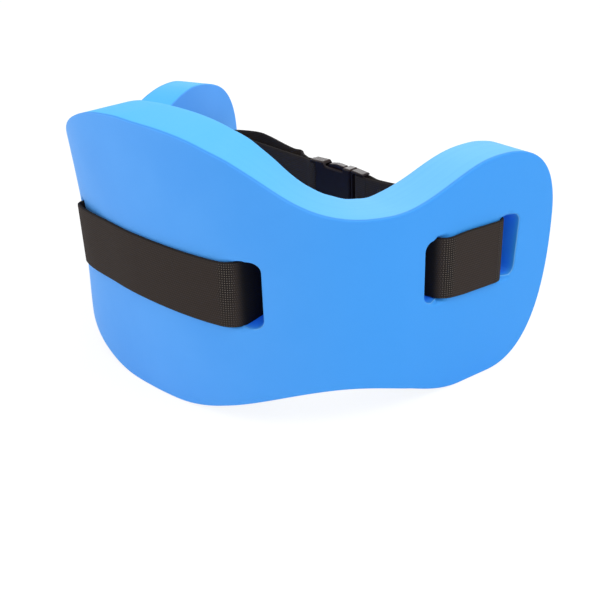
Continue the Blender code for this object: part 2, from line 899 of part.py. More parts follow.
def arm_outline():
    """Upper release arm in u and w: a tapering beam with a finger pad whose
    square front edge locks behind the socket's mouth band."""
    lock = -(SOCKET_MOUTH_BAND + PAD_LOCK_GAP)
    pad_top = SOCKET_WIDTH / 2.0 + PAD_PROUD
    pad_foot = lock - PAD_LENGTH
    neck = ARM_ROOT_OUTER + PAD_NECK_RISE
    soft = PAD_PROUD
    return rounded_outline(
        [
            (0.0, ARM_ROOT_INNER, 0.0),
            (0.0, ARM_ROOT_OUTER, 0.0),
            (lock, neck, soft),
            (lock, pad_top - soft, soft),
            ((lock + pad_foot) / 2.0, pad_top, PAD_LENGTH),
            (pad_foot, pad_top - soft - PAD_NECK_RISE, 2.0 * soft),
            (-ARM_LENGTH, ARM_TIP_OUTER, soft),
            (-ARM_LENGTH, ARM_TIP_INNER, soft),
        ]
    )


def build_arm(name, side, group, material):
    """Release arm with its origin on its flexing root."""
    points = [Vector((p.x, side * p.y)) for p in arm_outline()]
    arm = flat_solid(name, points, ARM_THICK, group, ARM_EDGE_ROUND)
    upright(arm)
    root = Vector((0.0, 0.0, side * ARM_ROOT_INNER))
    arm.data.transform(Matrix.Translation(-root))
    arm.matrix_world = buckle_matrix() @ Matrix.Translation(root)
    finish_piece(arm, material)


def build_webbing(group, material):
    """The belt's one length of webbing, parted where it leaves the foam and
    where the plug's share of it starts."""
    woven = woven_route()
    ribbon("webbing_harness", woven, level_drops(woven, 0.0), group, material)
    socket_end = socket_end_route()
    ribbon("webbing_socket_end", socket_end, socket_end_drops(socket_end), group, material)
    free = free_route()
    free_drops = easing_drops(free, BUCKLE_DROP, 0.0, 0, FREE_STRAP_STEPS)
    ribbon("webbing_free_stretch", free, free_drops, group, material)
    plug_end = plug_end_route()
    ribbon("webbing_plug_end", plug_end, level_drops(plug_end, BUCKLE_DROP), group, material)


def main():
    """Build the belt."""
    clear_scene()
    group = new_collection("swim_belt")
    cutters = new_collection("cutters")
    materials = {name: make_material(name) for name in MATERIALS}
    build_foam(group, materials["foam"])
    build_webbing(group, materials["webbing"])
    build_socket(group, cutters, materials["buckle"])
    build_plug(group, cutters, materials["buckle"])
    build_arm("release_arm_upper", 1.0, group, materials["buckle"])
    build_arm("release_arm_lower", -1.0, group, materials["buckle"])


main()
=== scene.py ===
"""Swim belt, dressed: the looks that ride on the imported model.

The foam slab, the webbing and the sewing are built here again with their soft
forms, and the moulded buckle gets its finish. Metres, +Z up, in the frame of the
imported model: the belt stands on Z = 0, the middle of its back faces -Y and the
buckle is on the +Y side.

Places on the slab are given in the slab frame: s along the middle surface of the
bent slab from the middle of the back, n out of its outer face, z up. Places on
the buckle are given in its own frame: u from its mouth towards the plug, v away
from the wearer, w up.
"""

import logging
import math
from dataclasses import dataclass, field
from enum import Enum
from typing import ClassVar, Iterable, Sequence

import bmesh
import bpy
from mathutils import Matrix, Vector


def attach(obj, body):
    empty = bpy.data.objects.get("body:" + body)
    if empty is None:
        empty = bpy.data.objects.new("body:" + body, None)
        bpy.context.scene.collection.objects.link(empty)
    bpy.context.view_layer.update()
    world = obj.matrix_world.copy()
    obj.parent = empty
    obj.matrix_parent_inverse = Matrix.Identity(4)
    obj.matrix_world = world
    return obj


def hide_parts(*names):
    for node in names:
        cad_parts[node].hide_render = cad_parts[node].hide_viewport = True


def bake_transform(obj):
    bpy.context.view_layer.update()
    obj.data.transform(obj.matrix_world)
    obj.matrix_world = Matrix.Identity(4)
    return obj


LOG = logging.getLogger("swim_belt")
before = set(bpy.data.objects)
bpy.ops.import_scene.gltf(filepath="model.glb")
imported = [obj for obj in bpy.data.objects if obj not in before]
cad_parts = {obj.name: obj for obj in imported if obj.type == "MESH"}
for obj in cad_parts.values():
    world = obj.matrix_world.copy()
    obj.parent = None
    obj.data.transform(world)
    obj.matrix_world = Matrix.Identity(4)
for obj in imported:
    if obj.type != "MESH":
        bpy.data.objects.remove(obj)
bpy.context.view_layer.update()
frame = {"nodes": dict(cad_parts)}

Colour = tuple[float, float, float]
Place = tuple[float, float, float]
Pair = tuple[float, float]

CUT_FACE = "cut_face"
SLOT_WALL = "slot_wall"
WEB_PLACE = "web_place"
WEB_TURN = "web_turn"
WEB_SUNK_SHADE = "web_sunk_shade"
SLAB_PLACE = "slab_place"
SLOT_HIGHLIGHT = "painted_slot_highlight"

# Sizes that the slab, its slots and the webbing share.
SLAB_HALF_LENGTH = 0.328
WEB_LEVEL = 0.1059
SLOT_WIDTH = 0.018
FOLD_RADIUS = 0.0088

# Points closer together than the first are one, and a point closer to a surface
# than the second lies on it.
WELD = 0.00001
ON_SURFACE = 0.0002

UP = Vector((0.0, 0.0, 1.0))


class Carrier(Enum):
    """What a piece moves with."""

    BELT = "belt"
    PLUG = "plug"
    STRAP = "plug and belt"


class Finish(Enum):
    """The record's finishes."""

    FOAM = "foam"
    WEBBING = "webbing"
    BUCKLE = "buckle"


# Shader expressions


class Shade:
    """A socket of a material's node tree that can stand in an expression."""

    def __init__(self, tree: "ShaderTree", socket: bpy.types.NodeSocket) -> None:
        """Wrap one output socket of a tree."""
        self.tree = tree
        self.socket = socket

    def maths(self, operation: str, *others: "Shade | float") -> "Shade":
        """Add one Math node.

        Args:
            operation: The node's operation.
            others: Its second and third values.

        Returns:
            The node's value.
        """
        values = {index: value for index, value in enumerate((self, *others))}
        return self.tree.add("ShaderNodeMath", {"operation": operation}, values)

    def __add__(self, other: "Shade | float") -> "Shade":
        """Sum."""
        return self.maths("ADD", other)

    def __radd__(self, other: float) -> "Shade":
        """Sum with a number in front."""
        return self.maths("ADD", other)

    def __sub__(self, other: "Shade | float") -> "Shade":
        """Difference."""
        return self.maths("SUBTRACT", other)

    def __rsub__(self, other: float) -> "Shade":
        """Difference from a number."""
        return self.tree.number(other).maths("SUBTRACT", self)

    def __mul__(self, other: "Shade | float") -> "Shade":
        """Product."""
        return self.maths("MULTIPLY", other)

    def __rmul__(self, other: float) -> "Shade":
        """Product with a number in front."""
        return self.maths("MULTIPLY", other)

    def __truediv__(self, other: "Shade | float") -> "Shade":
        """Quotient."""
        return self.maths("DIVIDE", other)

    def __pow__(self, other: "Shade | float") -> "Shade":
        """Power."""
        return self.maths("POWER", other)

    def floor(self) -> "Shade":
        """Whole number below."""
        return self.maths("FLOOR")

    def modulo(self, other: float) -> "Shade":
        """Remainder that is never negative."""
        return self.maths("FLOORED_MODULO", other)

    def wave(self) -> "Shade":
        """A crest at each whole number and a valley half way, from 0 to 1."""
        return (self * math.tau).maths("COSINE") * 0.5 + 0.5

    def size(self) -> "Shade":
        """Value without its sign."""
        return self.maths("ABSOLUTE")

    def eased(self, low: float, high: float) -> "Shade":
        """Smooth step.

        Args:
            low: Value at which the step is 0.
            high: Value at which the step is 1.

        Returns:
            The step, from 0 to 1.
        """
        settings = {"interpolation_type": "SMOOTHSTEP"}
        values = {"Value": self, "From Min": low, "From Max": high}
        return self.tree.add("ShaderNodeMapRange", settings, values)


class ShaderTree:
    """The nodes of one material or world, round its first shader."""

    def __init__(self, owner: bpy.types.Material | bpy.types.World) -> None:
        """Open a node tree with its first shader.

        Args:
            owner: The material or world.
        """
        owner.use_nodes = True
        self.owner = owner
        self.nodes = owner.node_tree.nodes
        self.links = owner.node_tree.links
        surface = [node for node in self.nodes if "Surface" in node.inputs]
        self.output = surface[0]
        self.shader = self.output.inputs["Surface"].links[0].from_node

    def add(
        self,
        kind: str,
        settings: dict[str, object] | None = None,
        values: dict[str | int, object] | None = None,
        output: str | int = 0,
    ) -> Shade:
        """Add one node.

        Args:
            kind: The node's type.
            settings: Its settings, which are set first.
            values: Its sockets' values, as numbers, colours or links.
            output: The socket that is given back.

        Returns:
            That output socket.
        """
        node = self.nodes.new(kind)
        for setting, value in (settings or {}).items():
            setattr(node, setting, value)
        for socket, value in (values or {}).items():
            self.feed(node.inputs[socket], value)
        return Shade(self, node.outputs[output])

    def feed(self, socket: bpy.types.NodeSocket, value: object) -> None:
        """Set a socket to a number or colour, or link an expression to it.

        Args:
            socket: The input socket.
            value: The number, colour or expression.
        """
        if isinstance(value, Shade):
            self.links.new(value.socket, socket)
        elif isinstance(value, tuple) and socket.type == "RGBA":
            socket.default_value = (*value, 1.0)
        else:
            socket.default_value = value

    def number(self, value: float) -> Shade:
        """A plain number as a socket.

        Args:
            value: The number.

        Returns:
            The socket.
        """
        node = self.nodes.new("ShaderNodeValue")
        node.outputs[0].default_value = value
        return Shade(self, node.outputs[0])

    def mix(self, factor: Shade | float, low: object, high: object) -> Shade:
        """Mix two colours.

        Args:
            factor: Share of the second colour.
            low: The colour at 0.
            high: The colour at 1.

        Returns:
            The mixed colour.
        """
        settings = {"data_type": "RGBA", "blend_type": "MIX"}
        return self.add("ShaderNodeMix", settings, {0: factor, 6: low, 7: high}, 2)

    def place(self) -> Shade:
        """The point on the surface in the object's own frame, in metres."""
        return self.add("ShaderNodeTexCoord", output="Object")

    def stretched(self, place: Shade, scale: Colour) -> Shade:
        """A point scaled along each axis."""
        settings = {"operation": "MULTIPLY"}
        return self.add("ShaderNodeVectorMath", settings, {0: place, 1: scale})

    def grain(self, place: Shade, scale: float, detail: float, rough: float = 0.5) -> Shade:
        """Noise.

        Args:
            place: Where it is read.
            scale: Waves in a metre.
            detail: Octaves.
            rough: Weight of the finer octaves.

        Returns:
            Noise from 0 to 1.
        """
        values = {"Vector": place, "Scale": scale, "Detail": detail, "Roughness": rough}
        return self.add("ShaderNodeTexNoise", {}, values)

    def cells(self, place: Shade, scale: float) -> Shade:
        """Distance to the middle of the nearest cell, in cells."""
        return self.add("ShaderNodeTexVoronoi", {}, {"Vector": place, "Scale": scale})

    def mark(self, name: str) -> Shade:
        """The value that the mesh carries under a name."""
        return self.add("ShaderNodeAttribute", {"attribute_name": name}, output="Fac")

    def marked_place(self, name: str) -> Shade:
        """The vector that the mesh carries under a name."""
        return self.add("ShaderNodeAttribute", {"attribute_name": name}, output="Vector")

    def parts(self, vector: Shade) -> tuple[Shade, Shade, Shade]:
        """The three numbers of a vector."""
        node = self.add("ShaderNodeSeparateXYZ", {}, {0: vector}).socket.node
        return tuple(Shade(self, socket) for socket in node.outputs)

    def bump(self, height: Shade, depth: float, strength: float = 1.0) -> Shade:
        """Bumped normal.

        Args:
            height: Height from 0 to 1.
            depth: What a height of 1 stands for, in metres.
            strength: Share of the bump that is used.

        Returns:
            The normal.
        """
        values = {"Height": height, "Distance": depth, "Strength": strength}
        return self.add("ShaderNodeBump", {}, values)

    def set(self, **values: object) -> None:
        """Set the first shader's sockets by name, with _ for a space."""
        for name, value in values.items():
            self.feed(self.shader.inputs[name.replace("_", " ")], value)

    def seen_directly(self) -> Shade:
        """What kind of ray meets the surface.

        Returns:
            1 for what the camera sees, straight, in a gloss or through glass.
        """
        path = self.add("ShaderNodeLightPath").socket.node
        kinds = ("Camera", "Glossy", "Transmission")
        camera, gloss, through = (Shade(self, path.outputs[f"Is {kind} Ray"]) for kind in kinds)
        return (camera + gloss + through).maths("MINIMUM", 1.0)

    def cover(self, factor: Shade, shader: Shade) -> None:
        """Show a second shader in place of the first.

        Args:
            factor: Share of the second shader.
            shader: The second shader.
        """
        first = Shade(self, self.shader.outputs[0])
        shown = self.add("ShaderNodeMixShader", {}, {0: factor, 1: first, 2: shader})
        self.links.new(shown.socket, self.output.inputs["Surface"])


# Finishes


@dataclass(frozen=True)
class SurfaceFinish:
    """A surface's looks: the name of its material, and how its shader is fed."""

    title: ClassVar[str]

    def material(self) -> bpy.types.Material:
        """Build the material.

        Returns:
            The finished material.
        """
        tree = ShaderTree(bpy.data.materials.new(self.title))
        self.paint(tree)
        return tree.owner

    def paint(self, tree: ShaderTree) -> None:
        """Feed the shader.

        Args:
            tree: The new material's tree.
        """
        raise NotImplementedError


@dataclass(frozen=True)
class FoamFinish(SurfaceFinish):
    """Closed-cell foam: a smooth moulded skin on its faces, a paler edge with
    fine lines along it where the sheet was cut, a painted shade line where a face
    turns into the cut edge, a painted highlight round the slots, and slot walls
    painted a deeper blue with a painted glow that stands in for light coming
    through the foam. Its skin is darker and bluer towards the right end of the
    sheet, and its cut edge bluer towards the left."""

    title: ClassVar[str] = "foam_closed_cell"
    skin: Colour = (0.094, 0.400, 0.990)
    skin_deep: Colour = (0.082, 0.376, 0.965)
    skin_right: Colour = (0.038, 0.325, 0.880)
    cut: Colour = (0.142, 0.520, 0.970)
    cut_deep: Colour = (0.132, 0.500, 0.965)
    cut_left: Colour = (0.066, 0.480, 0.960)
    painted_rim_shading: Colour = (0.030, 0.260, 0.800)
    painted_rim_shade_share: float = 0.80
    corner_in: Pair = (0.0178, 0.0192)
    corner_out: Pair = (0.0200, 0.0205)
    painted_slot_highlight: Colour = (0.330, 0.700, 1.000)
    painted_slot_highlight_share: float = 0.45
    slot: Colour = (0.020, 0.240, 1.000)
    painted_slot_glow: Colour = (0.000, 0.013, 0.120)
    no_glow: Colour = (0.0, 0.0, 0.0)
    drift: Pair = (-0.02, 0.21)
    patches: Pair = (0.3, 0.7)
    roughness: float = 0.51
    specular: float = 0.35
    pore_size: float = 0.0011
    pore_edges: Pair = (0.0, 0.75)
    grain_size: float = 0.0011 / 0.6
    mottle_size: float = 0.055
    blade_line: float = 0.0022
    blade_stretch: Place = (0.03, 0.03, 1.0)
    cut_edges: Pair = (0.0, 0.35)
    bump_depth: float = 0.00012
    bump_strength: float = 0.55

    def paint(self, tree: ShaderTree) -> None:
        """Feed the shader.

        Args:
            tree: The new material's tree.
        """
        place, flat = tree.place(), tree.marked_place(SLAB_PLACE)
        along, _, across = tree.parts(flat)
        cut, wall = tree.mark(CUT_FACE), tree.mark(SLOT_WALL)
        # Mask of the band where the face turns into the cut edge, for the painted shade line.
        corner = across.eased(*self.corner_in) * (1.0 - across.eased(*self.corner_out))
        corner = corner * cut.eased(*self.cut_edges)
        mottle = tree.grain(place, 1.0 / self.mottle_size, 3.0)
        pores = tree.cells(place, 1.0 / self.pore_size).eased(*self.pore_edges)
        grain = tree.grain(place, 1.0 / self.grain_size, 4.0, 0.65)
        along_blade = tree.stretched(flat, self.blade_stretch)
        blade = tree.grain(along_blade, 1.0 / self.blade_line, 2.0)
        # Skin darker and bluer towards the right end, cut edge bluer towards the left.
        right = along.eased(*self.drift)
        skin = tree.mix(mottle.eased(*self.patches), self.skin_deep, self.skin)
        skin = tree.mix(right, skin, self.skin_right)
        edge = tree.mix(blade.eased(*self.patches), self.cut_deep, self.cut)
        edge = tree.mix(right, self.cut_left, edge)
        outside = tree.mix(cut, skin, edge)
        # Painted shade: a darker line where the face turns into the cut edge.
        outside = tree.mix(corner * self.painted_rim_shade_share, outside, self.painted_rim_shading)
        # Painted highlight: a pale line round the edges of the slots.
        outside = tree.mix(tree.mark(SLOT_HIGHLIGHT) * self.painted_slot_highlight_share, outside, self.painted_slot_highlight)
        height = grain * (0.45 + cut * 0.35) + pores * 0.25 + blade * cut * 0.18
        tree.set(
            # Painted light: the slot walls are a deeper blue and glow a little, standing in for
            # light that comes through the foam.
            Base_Color=tree.mix(wall, outside, self.slot),
            Roughness=grain * 0.10 + cut * 0.08 + self.roughness,
            Normal=tree.bump(height, self.bump_depth, self.bump_strength),
            Emission_Color=tree.mix(wall, self.no_glow, self.painted_slot_glow),
            Emission_Strength=1.0,
            Specular_IOR_Level=self.specular,
        )


@dataclass(frozen=True)
class WebbingFinish(SurfaceFinish):
    """Plain woven polypropylene webbing: closely beaten yarn crowns in staggered
    columns, which open where the band turns round an edge and there carry pale
    painted glints, a closely woven edge painted darker as painted shade, and a few
    raised fibres. Where it lies inside a slot it is painted darker, as painted
    shade. Sizes are in metres; wander, fibre and wash are waves in a metre."""

    title: ClassVar[str] = "webbing_polypropylene"
    yarn: Colour = (0.0415, 0.0315, 0.0270)
    crown: Colour = (0.0500, 0.0385, 0.0330)
    gap: Colour = (0.0300, 0.0225, 0.0195)
    open_crown_glint: Colour = (0.210, 0.180, 0.150)
    open_gap: Colour = (0.0120, 0.0100, 0.0095)
    painted_sunk_shade: Colour = (0.0060, 0.0055, 0.0060)
    selvedge_and_edge_shade: Colour = (0.0130, 0.0110, 0.0105)
    width: float = 0.050
    pitch_along: float = 0.00158
    pitch_across: float = 0.00175
    edge_width: float = 0.0016
    wander: float = 220.0
    fibre: float = 2600.0
    wash: float = 24.0
    wash_edges: Pair = (0.3, 0.75)
    yarn_edges: Pair = (0.05, 0.55)
    crown_edges: Pair = (0.55, 1.0)
    open_edges: Pair = (0.60, 0.95)
    ridge_power: float = 0.7
    bead_power: float = 0.6
    roughness: float = 0.92
    bump_depth: float = 0.00022
    bump_strength: float = 0.8
    specular: float = 0.14

    def paint(self, tree: ShaderTree) -> None:
        """Feed the shader.

        Args:
            tree: The new material's tree.
        """
        place = tree.place()
        along, across, _ = tree.parts(tree.marked_place(WEB_PLACE))
        opened_with_glint, sunk_shade = tree.mark(WEB_TURN), tree.mark(WEB_SUNK_SHADE)
        wander = tree.grain(place, self.wander, 2.0) - 0.5
        column = across / self.pitch_across
        row = along / self.pitch_along + wander * 0.22
        stagger = column.floor().modulo(2.0) * (0.5 - opened_with_glint * 0.5)
        ridge = (column + 0.5).wave() ** self.ridge_power
        bead = (row + stagger).wave() ** self.bead_power
        crowns = ridge * bead
        edge = across.size().eased(self.width / 2.0 - self.edge_width, self.width / 2.0)
        weave = crowns * (1.0 - edge) + edge * (row * 1.5).wave() * 0.5
        fibre = tree.grain(place, self.fibre, 3.0, 0.7)
        wear = 0.35 + tree.grain(place, self.wash, 3.0).eased(*self.wash_edges) * 0.65
        body = tree.mix(weave.eased(*self.yarn_edges), self.gap, self.yarn)
        worn = tree.mix(weave.eased(*self.crown_edges) * wear, body, self.crown)
        # Painted glint: pale crowns and dark gaps where the weave opens round a bend.
        strained_glint = tree.mix(weave.eased(*self.open_edges), self.open_gap, self.open_crown_glint)
        # Closely woven edge, painted darker as painted shade along the band's edges.
        flat = tree.mix(edge * 0.8, worn, self.selvedge_and_edge_shade)
        # The opened weave and its painted glint show on the outer face at a bend.
        shown = tree.mix(opened_with_glint * wear * (1.0 - edge), flat, strained_glint)
        height = weave * (0.55 + opened_with_glint * 0.45) + fibre * 0.16
        tree.set(
            # Painted shade: the band is darker where it lies inside a slot.
            Base_Color=tree.mix(sunk_shade, shown, self.painted_sunk_shade),
            Roughness=self.roughness - weave * 0.12 - fibre * 0.06,
            Normal=tree.bump(height, self.bump_depth, self.bump_strength),
            Specular_IOR_Level=self.specular,
        )


@dataclass(frozen=True)
class MouldedFinish(SurfaceFinish):
    """Moulded acetal, near black, with the slight waviness of a moulded face and
    fine handling marks; the ridges along its top and bottom edges are glossier and
    carry a warm painted highlight. Flow, fine and streak are waves in a metre."""

    title: ClassVar[str] = "buckle_acetal"
    colour: Colour = (0.0120, 0.0070, 0.0085)
    worn: Colour = (0.020, 0.014, 0.014)
    painted_ridge_glint: Colour = (0.066, 0.044, 0.037)
    roughness: float = 0.36
    polished: float = 0.13
    ridge: Pair = (0.0262, 0.0276)
    flow: float = 60.0
    fine: float = 1400.0
    streak: float = 160.0
    scuff_edges: Pair = (0.56, 0.74)
    streak_stretch: Place = (1.0, 1.0, 14.0)
    bump_depth: float = 0.00018
    bump_strength: float = 0.5
    specular: float = 0.12

    def paint(self, tree: ShaderTree) -> None:
        """Feed the shader.

        Args:
            tree: The new material's tree.
        """
        place = tree.place()
        flow = tree.grain(place, self.flow, 2.0)
        fine = tree.grain(place, self.fine, 3.0, 0.7)
        drawn = tree.stretched(place, self.streak_stretch)
        streak = tree.grain(drawn, self.streak, 3.0, 0.7)
        scuff = streak.eased(*self.scuff_edges)
        _, _, level = tree.parts(place)
        # Ridges along the top and bottom edges: glossier, with a warm painted highlight.
        ridge_glint = (level - BuckleFrame().mouth.z).size().eased(*self.ridge)
        colour = tree.mix(scuff * 0.4 + fine * 0.12, self.colour, self.worn)
        # Painted highlight on the ridges.
        colour = tree.mix(ridge_glint * (0.35 + scuff * 0.65), colour, self.painted_ridge_glint)
        roughness = self.roughness + scuff * 0.14 + fine * 0.05
        height = flow * 0.7 + fine * 0.10 + scuff * 0.05
        tree.set(
            Base_Color=colour,
            Roughness=roughness - ridge_glint * (self.roughness - self.polished),
            Normal=tree.bump(height, self.bump_depth, self.bump_strength),
            Specular_IOR_Level=self.specular,
        )


@dataclass(frozen=True)
class ThreadFinish(SurfaceFinish):
    """Twisted polyester sewing thread."""

    title: ClassVar[str] = "sewing_thread"
    colour: Colour = (0.020, 0.018, 0.018)
    pale: Colour = (0.0520, 0.0468, 0.0468)
    twist: float = 0.0006
    roughness: float = 0.62
    bump_depth: float = 0.00012
    bump_strength: float = 0.6

    def paint(self, tree: ShaderTree) -> None:
        """Feed the shader.

        Args:
            tree: The new material's tree.
        """
        x, y, z = tree.parts(tree.place())
        ply = ((x + y + z) / self.twist).wave()
        tree.set(
            Base_Color=tree.mix(ply * 0.7, self.colour, self.pale),
            Roughness=self.roughness - ply * 0.12,
            Normal=tree.bump(ply, self.bump_depth, self.bump_strength),
        )


@dataclass(frozen=True)
class FloorFinish(SurfaceFinish):
    """Plain pale studio floor that keeps a faint shadow."""

    title: ClassVar[str] = "studio_floor"
    colour: Colour = (0.86, 0.87, 0.88)
    shown_white: float = 0.80
    glow: float = 1.10
    glow_colour: Colour = (1.0, 1.0, 1.0)
    roughness: float = 0.9
    specular: float = 0.1

    def paint(self, tree: ShaderTree) -> None:
        """Feed the shader.

        Args:
            tree: The new material's tree.
        """
        values = {"Color": self.glow_colour, "Strength": self.glow}
        white = tree.add("ShaderNodeEmission", {}, values)
        tree.cover(tree.seen_directly() * self.shown_white, white)
        tree.set(
            Base_Color=self.colour,
            Roughness=self.roughness,
            Specular_IOR_Level=self.specular,
        )


# Mesh helpers


def new_object(name: str, data: bpy.types.ID) -> bpy.types.Object:
    """Add an object to the scene.

    Args:
        name: Its name.
        data: The mesh, curve, lamp or camera that it holds.

    Returns:
        The object.
    """
    piece = bpy.data.objects.new(name, data)
    bpy.context.scene.collection.objects.link(piece)
    return piece


def mesh_from(shape: bmesh.types.BMesh, name: str) -> bpy.types.Mesh:
    """Make a mesh of a finished bmesh.

    Args:
        shape: The bmesh, which is freed.
        name: The mesh's name.

    Returns:
        The mesh.
    """
    mesh = bpy.data.meshes.new(name)
    shape.to_mesh(mesh)
    shape.free()
    return mesh


def loft(
    shape: bmesh.types.BMesh, rings: Sequence[Sequence[bmesh.types.BMVert]]
) -> None:
    """Join rings of points with faces, and close both ends.

    Args:
        shape: The mesh that holds the points.
        rings: The rings, each with the same number of points.
    """
    count = len(rings[0])
    for first, second in zip(rings, rings[1:]):
        for k in range(count):
            after = (k + 1) % count
            shape.faces.new((first[k], first[after], second[after], second[k]))
    shape.faces.new(rings[0][::-1])
    shape.faces.new(rings[-1])


def dress(
    piece: bpy.types.Object,
    material: bpy.types.Material,
    sharp: float,
) -> None:
    """Give a piece its finish.

    Args:
        piece: The piece.
        material: Its material.
        sharp: Edges that turn more than this stay sharp.
    """
    piece.data.materials.clear()
    piece.data.materials.append(material)
    piece.data.shade_smooth()
    piece.data.set_sharp_from_angle(angle=sharp)


def report(piece: bpy.types.Object, carrier: Carrier) -> None:
    """Log a finished piece and what it moves with."""
    LOG.info("%s: %d faces, moves with %s", piece.name, len(piece.data.polygons), carrier.value)


def smooth_step(value: float, low: float, high: float) -> float:
    """Smooth step from 0 at low to 1 at high."""
    share = min(1.0, max(0.0, (value - low) / (high - low)))
    return share * share * (3.0 - 2.0 * share)


def left_of(along: Vector) -> Vector:
    """Plan vector a quarter turn to the left of another."""
    return Vector((-along.y, along.x))


def arc_centre(here: Vector, before: Vector, after: Vector, radius: float) -> Vector:
    """Centre of the arc that rounds a corner, given as for corner_arc."""
    half = before.angle(after) / 2.0
    return here + (before + after).normalized() * (radius / math.sin(half))


def corner_arc(
    here: Vector, before: Vector, after: Vector, radius: float, steps: int
) -> list[Vector]:
    """Points of the arc that rounds a corner.

    Args:
        here: The corner.
        before: Unit direction from it to the point before.
        after: Unit direction from it to the point after.
        radius: The arc's radius.
        steps: Straight lines in the arc.

    Returns:
        The arc's points.
    """
    centre = arc_centre(here, before, after, radius)
    reach = radius / math.tan(before.angle(after) / 2.0)
    first, last = here + before * reach - centre, here + after * reach - centre
    turn = math.atan2(first.cross(last), first.dot(last))
    return [centre + Matrix.Rotation(turn * k / steps, 2) @ first for k in range(steps + 1)]


def half_turn(steps: int) -> list[float]:
    """Angles of a half turn, ends included."""
    return [math.pi * k / steps for k in range(steps + 1)]


def even_path(points: Sequence[Vector], step: float) -> list[Vector]:
    """Split the long runs of a path.

    Args:
        points: The path's points.
        step: How far apart they may lie, about.

    Returns:
        The path with its long runs split.
    """
    result = [points[0]]
    for start, end in zip(points, points[1:]):
        count = max(1, round((end - start).length / step))
        result += [start.lerp(end, k / count) for k in range(1, count + 1)]
    return result


def bezier_path(
    start: Vector, start_step: Vector, end_step: Vector, end: Vector, count: int
) -> list[Vector]:
    """Points of one Bezier curve.

    Args:
        start: Its first point.
        start_step: From there to its first handle.
        end_step: From its last point to its last handle.
        end: Its last point.
        count: Straight lines in it.

    Returns:
        The curve's points.
    """
    first = start + start_step
    second = end + end_step
    points = []
    for k in range(count + 1):
        t = k / count
        r = 1.0 - t
        outer, inner = start * r**3, first * (3 * r * r * t)
        points.append(outer + inner + second * (3 * r * t * t) + end * t**3)
    return points


def smooth_path(points: Sequence[Vector], steps: int) -> list[Vector]:
    """Smooth path through points, by Catmull-Rom curves.

    Args:
        points: The points.
        steps: Straight lines between two of them.

    Returns:
        The path's points.
    """
    row = [points[0] * 2.0 - points[1], *points, points[-1] * 2.0 - points[-2]]
    path = [points[0]]
    for before, start, end, after in zip(row, row[1:], row[2:], row[3:]):
        leave, arrive = (end - before) / 6.0, (start - after) / 6.0
        path += bezier_path(start, leave, arrive, end, steps)[1:]
    return path


# Places


@dataclass(frozen=True)
class SlabFrame:
    """The bend of the foam slab: a slack arc over the back, a tight arc at each
    side, then straight wings."""

    half_length: float = SLAB_HALF_LENGTH
    thick: float = 0.041
    edge_round: float = 0.0013
    back_radius: float = 0.265
    back_arc_half: float = 0.066
    side_radius: float = 0.111
    side_arc: float = 0.122
    depth_centre: float = 0.104280578

    def side_end(self) -> float:
        """Arc length at which the straight wing starts."""
        return self.back_arc_half + self.side_arc

    def on_arc(
        self, start: Pair, heading: float, radius: float, run: float
    ) -> tuple[Pair, float]:
        """Point and heading after a run along an arc that turns left.

        Args:
            start: Where the arc starts.
            heading: Direction there.
            radius: The arc's radius.
            run: Length along it.

        Returns:
            The point and the direction there.
        """
        after = heading + run / radius
        x = start[0] + radius * (math.sin(after) - math.sin(heading))
        y = start[1] - radius * (math.cos(after) - math.cos(heading))
        return (x, y), after

    def middle(self, s: float) -> tuple[Pair, float]:
        """Plan point and heading of the middle surface.

        Args:
            s: Arc length from the middle of the back.

        Returns:
            The point and the direction there.
        """
        reach = abs(s)
        first = min(reach, self.back_arc_half)
        point, heading = self.on_arc((0.0, 0.0), 0.0, self.back_radius, first)
        if reach > self.back_arc_half:
            run = min(reach, self.side_end()) - self.back_arc_half
            point, heading = self.on_arc(point, heading, self.side_radius, run)
        if reach > self.side_end():
            run = reach - self.side_end()
            point = (point[0] + run * math.cos(heading), point[1] + run * math.sin(heading))
        if s < 0.0:
            return (-point[0], point[1]), -heading
        return point, heading

    def plan(self, s: float, n: float) -> Vector:
        """Plan point in the world of a point in the slab frame.

        Args:
            s: Its arc length.
            n: Its distance out of the middle surface.

        Returns:
            The plan point.
        """
        (x, y), heading = self.middle(s)
        back = y - n * math.cos(heading) - self.depth_centre
        return Vector((x + n * math.sin(heading), back))

    def point(self, s: float, n: float, z: float) -> Vector:
        """World point of a point in the slab frame."""
        return Vector((*self.plan(s, n), z))


@dataclass(frozen=True)
class BuckleFrame:
    """Where the buckle lies."""

    mouth: Vector = field(default_factory=lambda: Vector((0.035, 0.077219422, 0.1037)))
    turn: float = math.radians(-6.0)

    def plan(self, u: float, v: float) -> Vector:
        """Plan point in the world of a point in the buckle frame."""
        return Matrix.Rotation(self.turn, 2) @ Vector((u, v)) + self.mouth.xy

    def direction(self) -> Vector:
        """Unit plan direction from the mouth towards the plug."""
        return Matrix.Rotation(self.turn, 2) @ Vector((1.0, 0.0))


# Foam


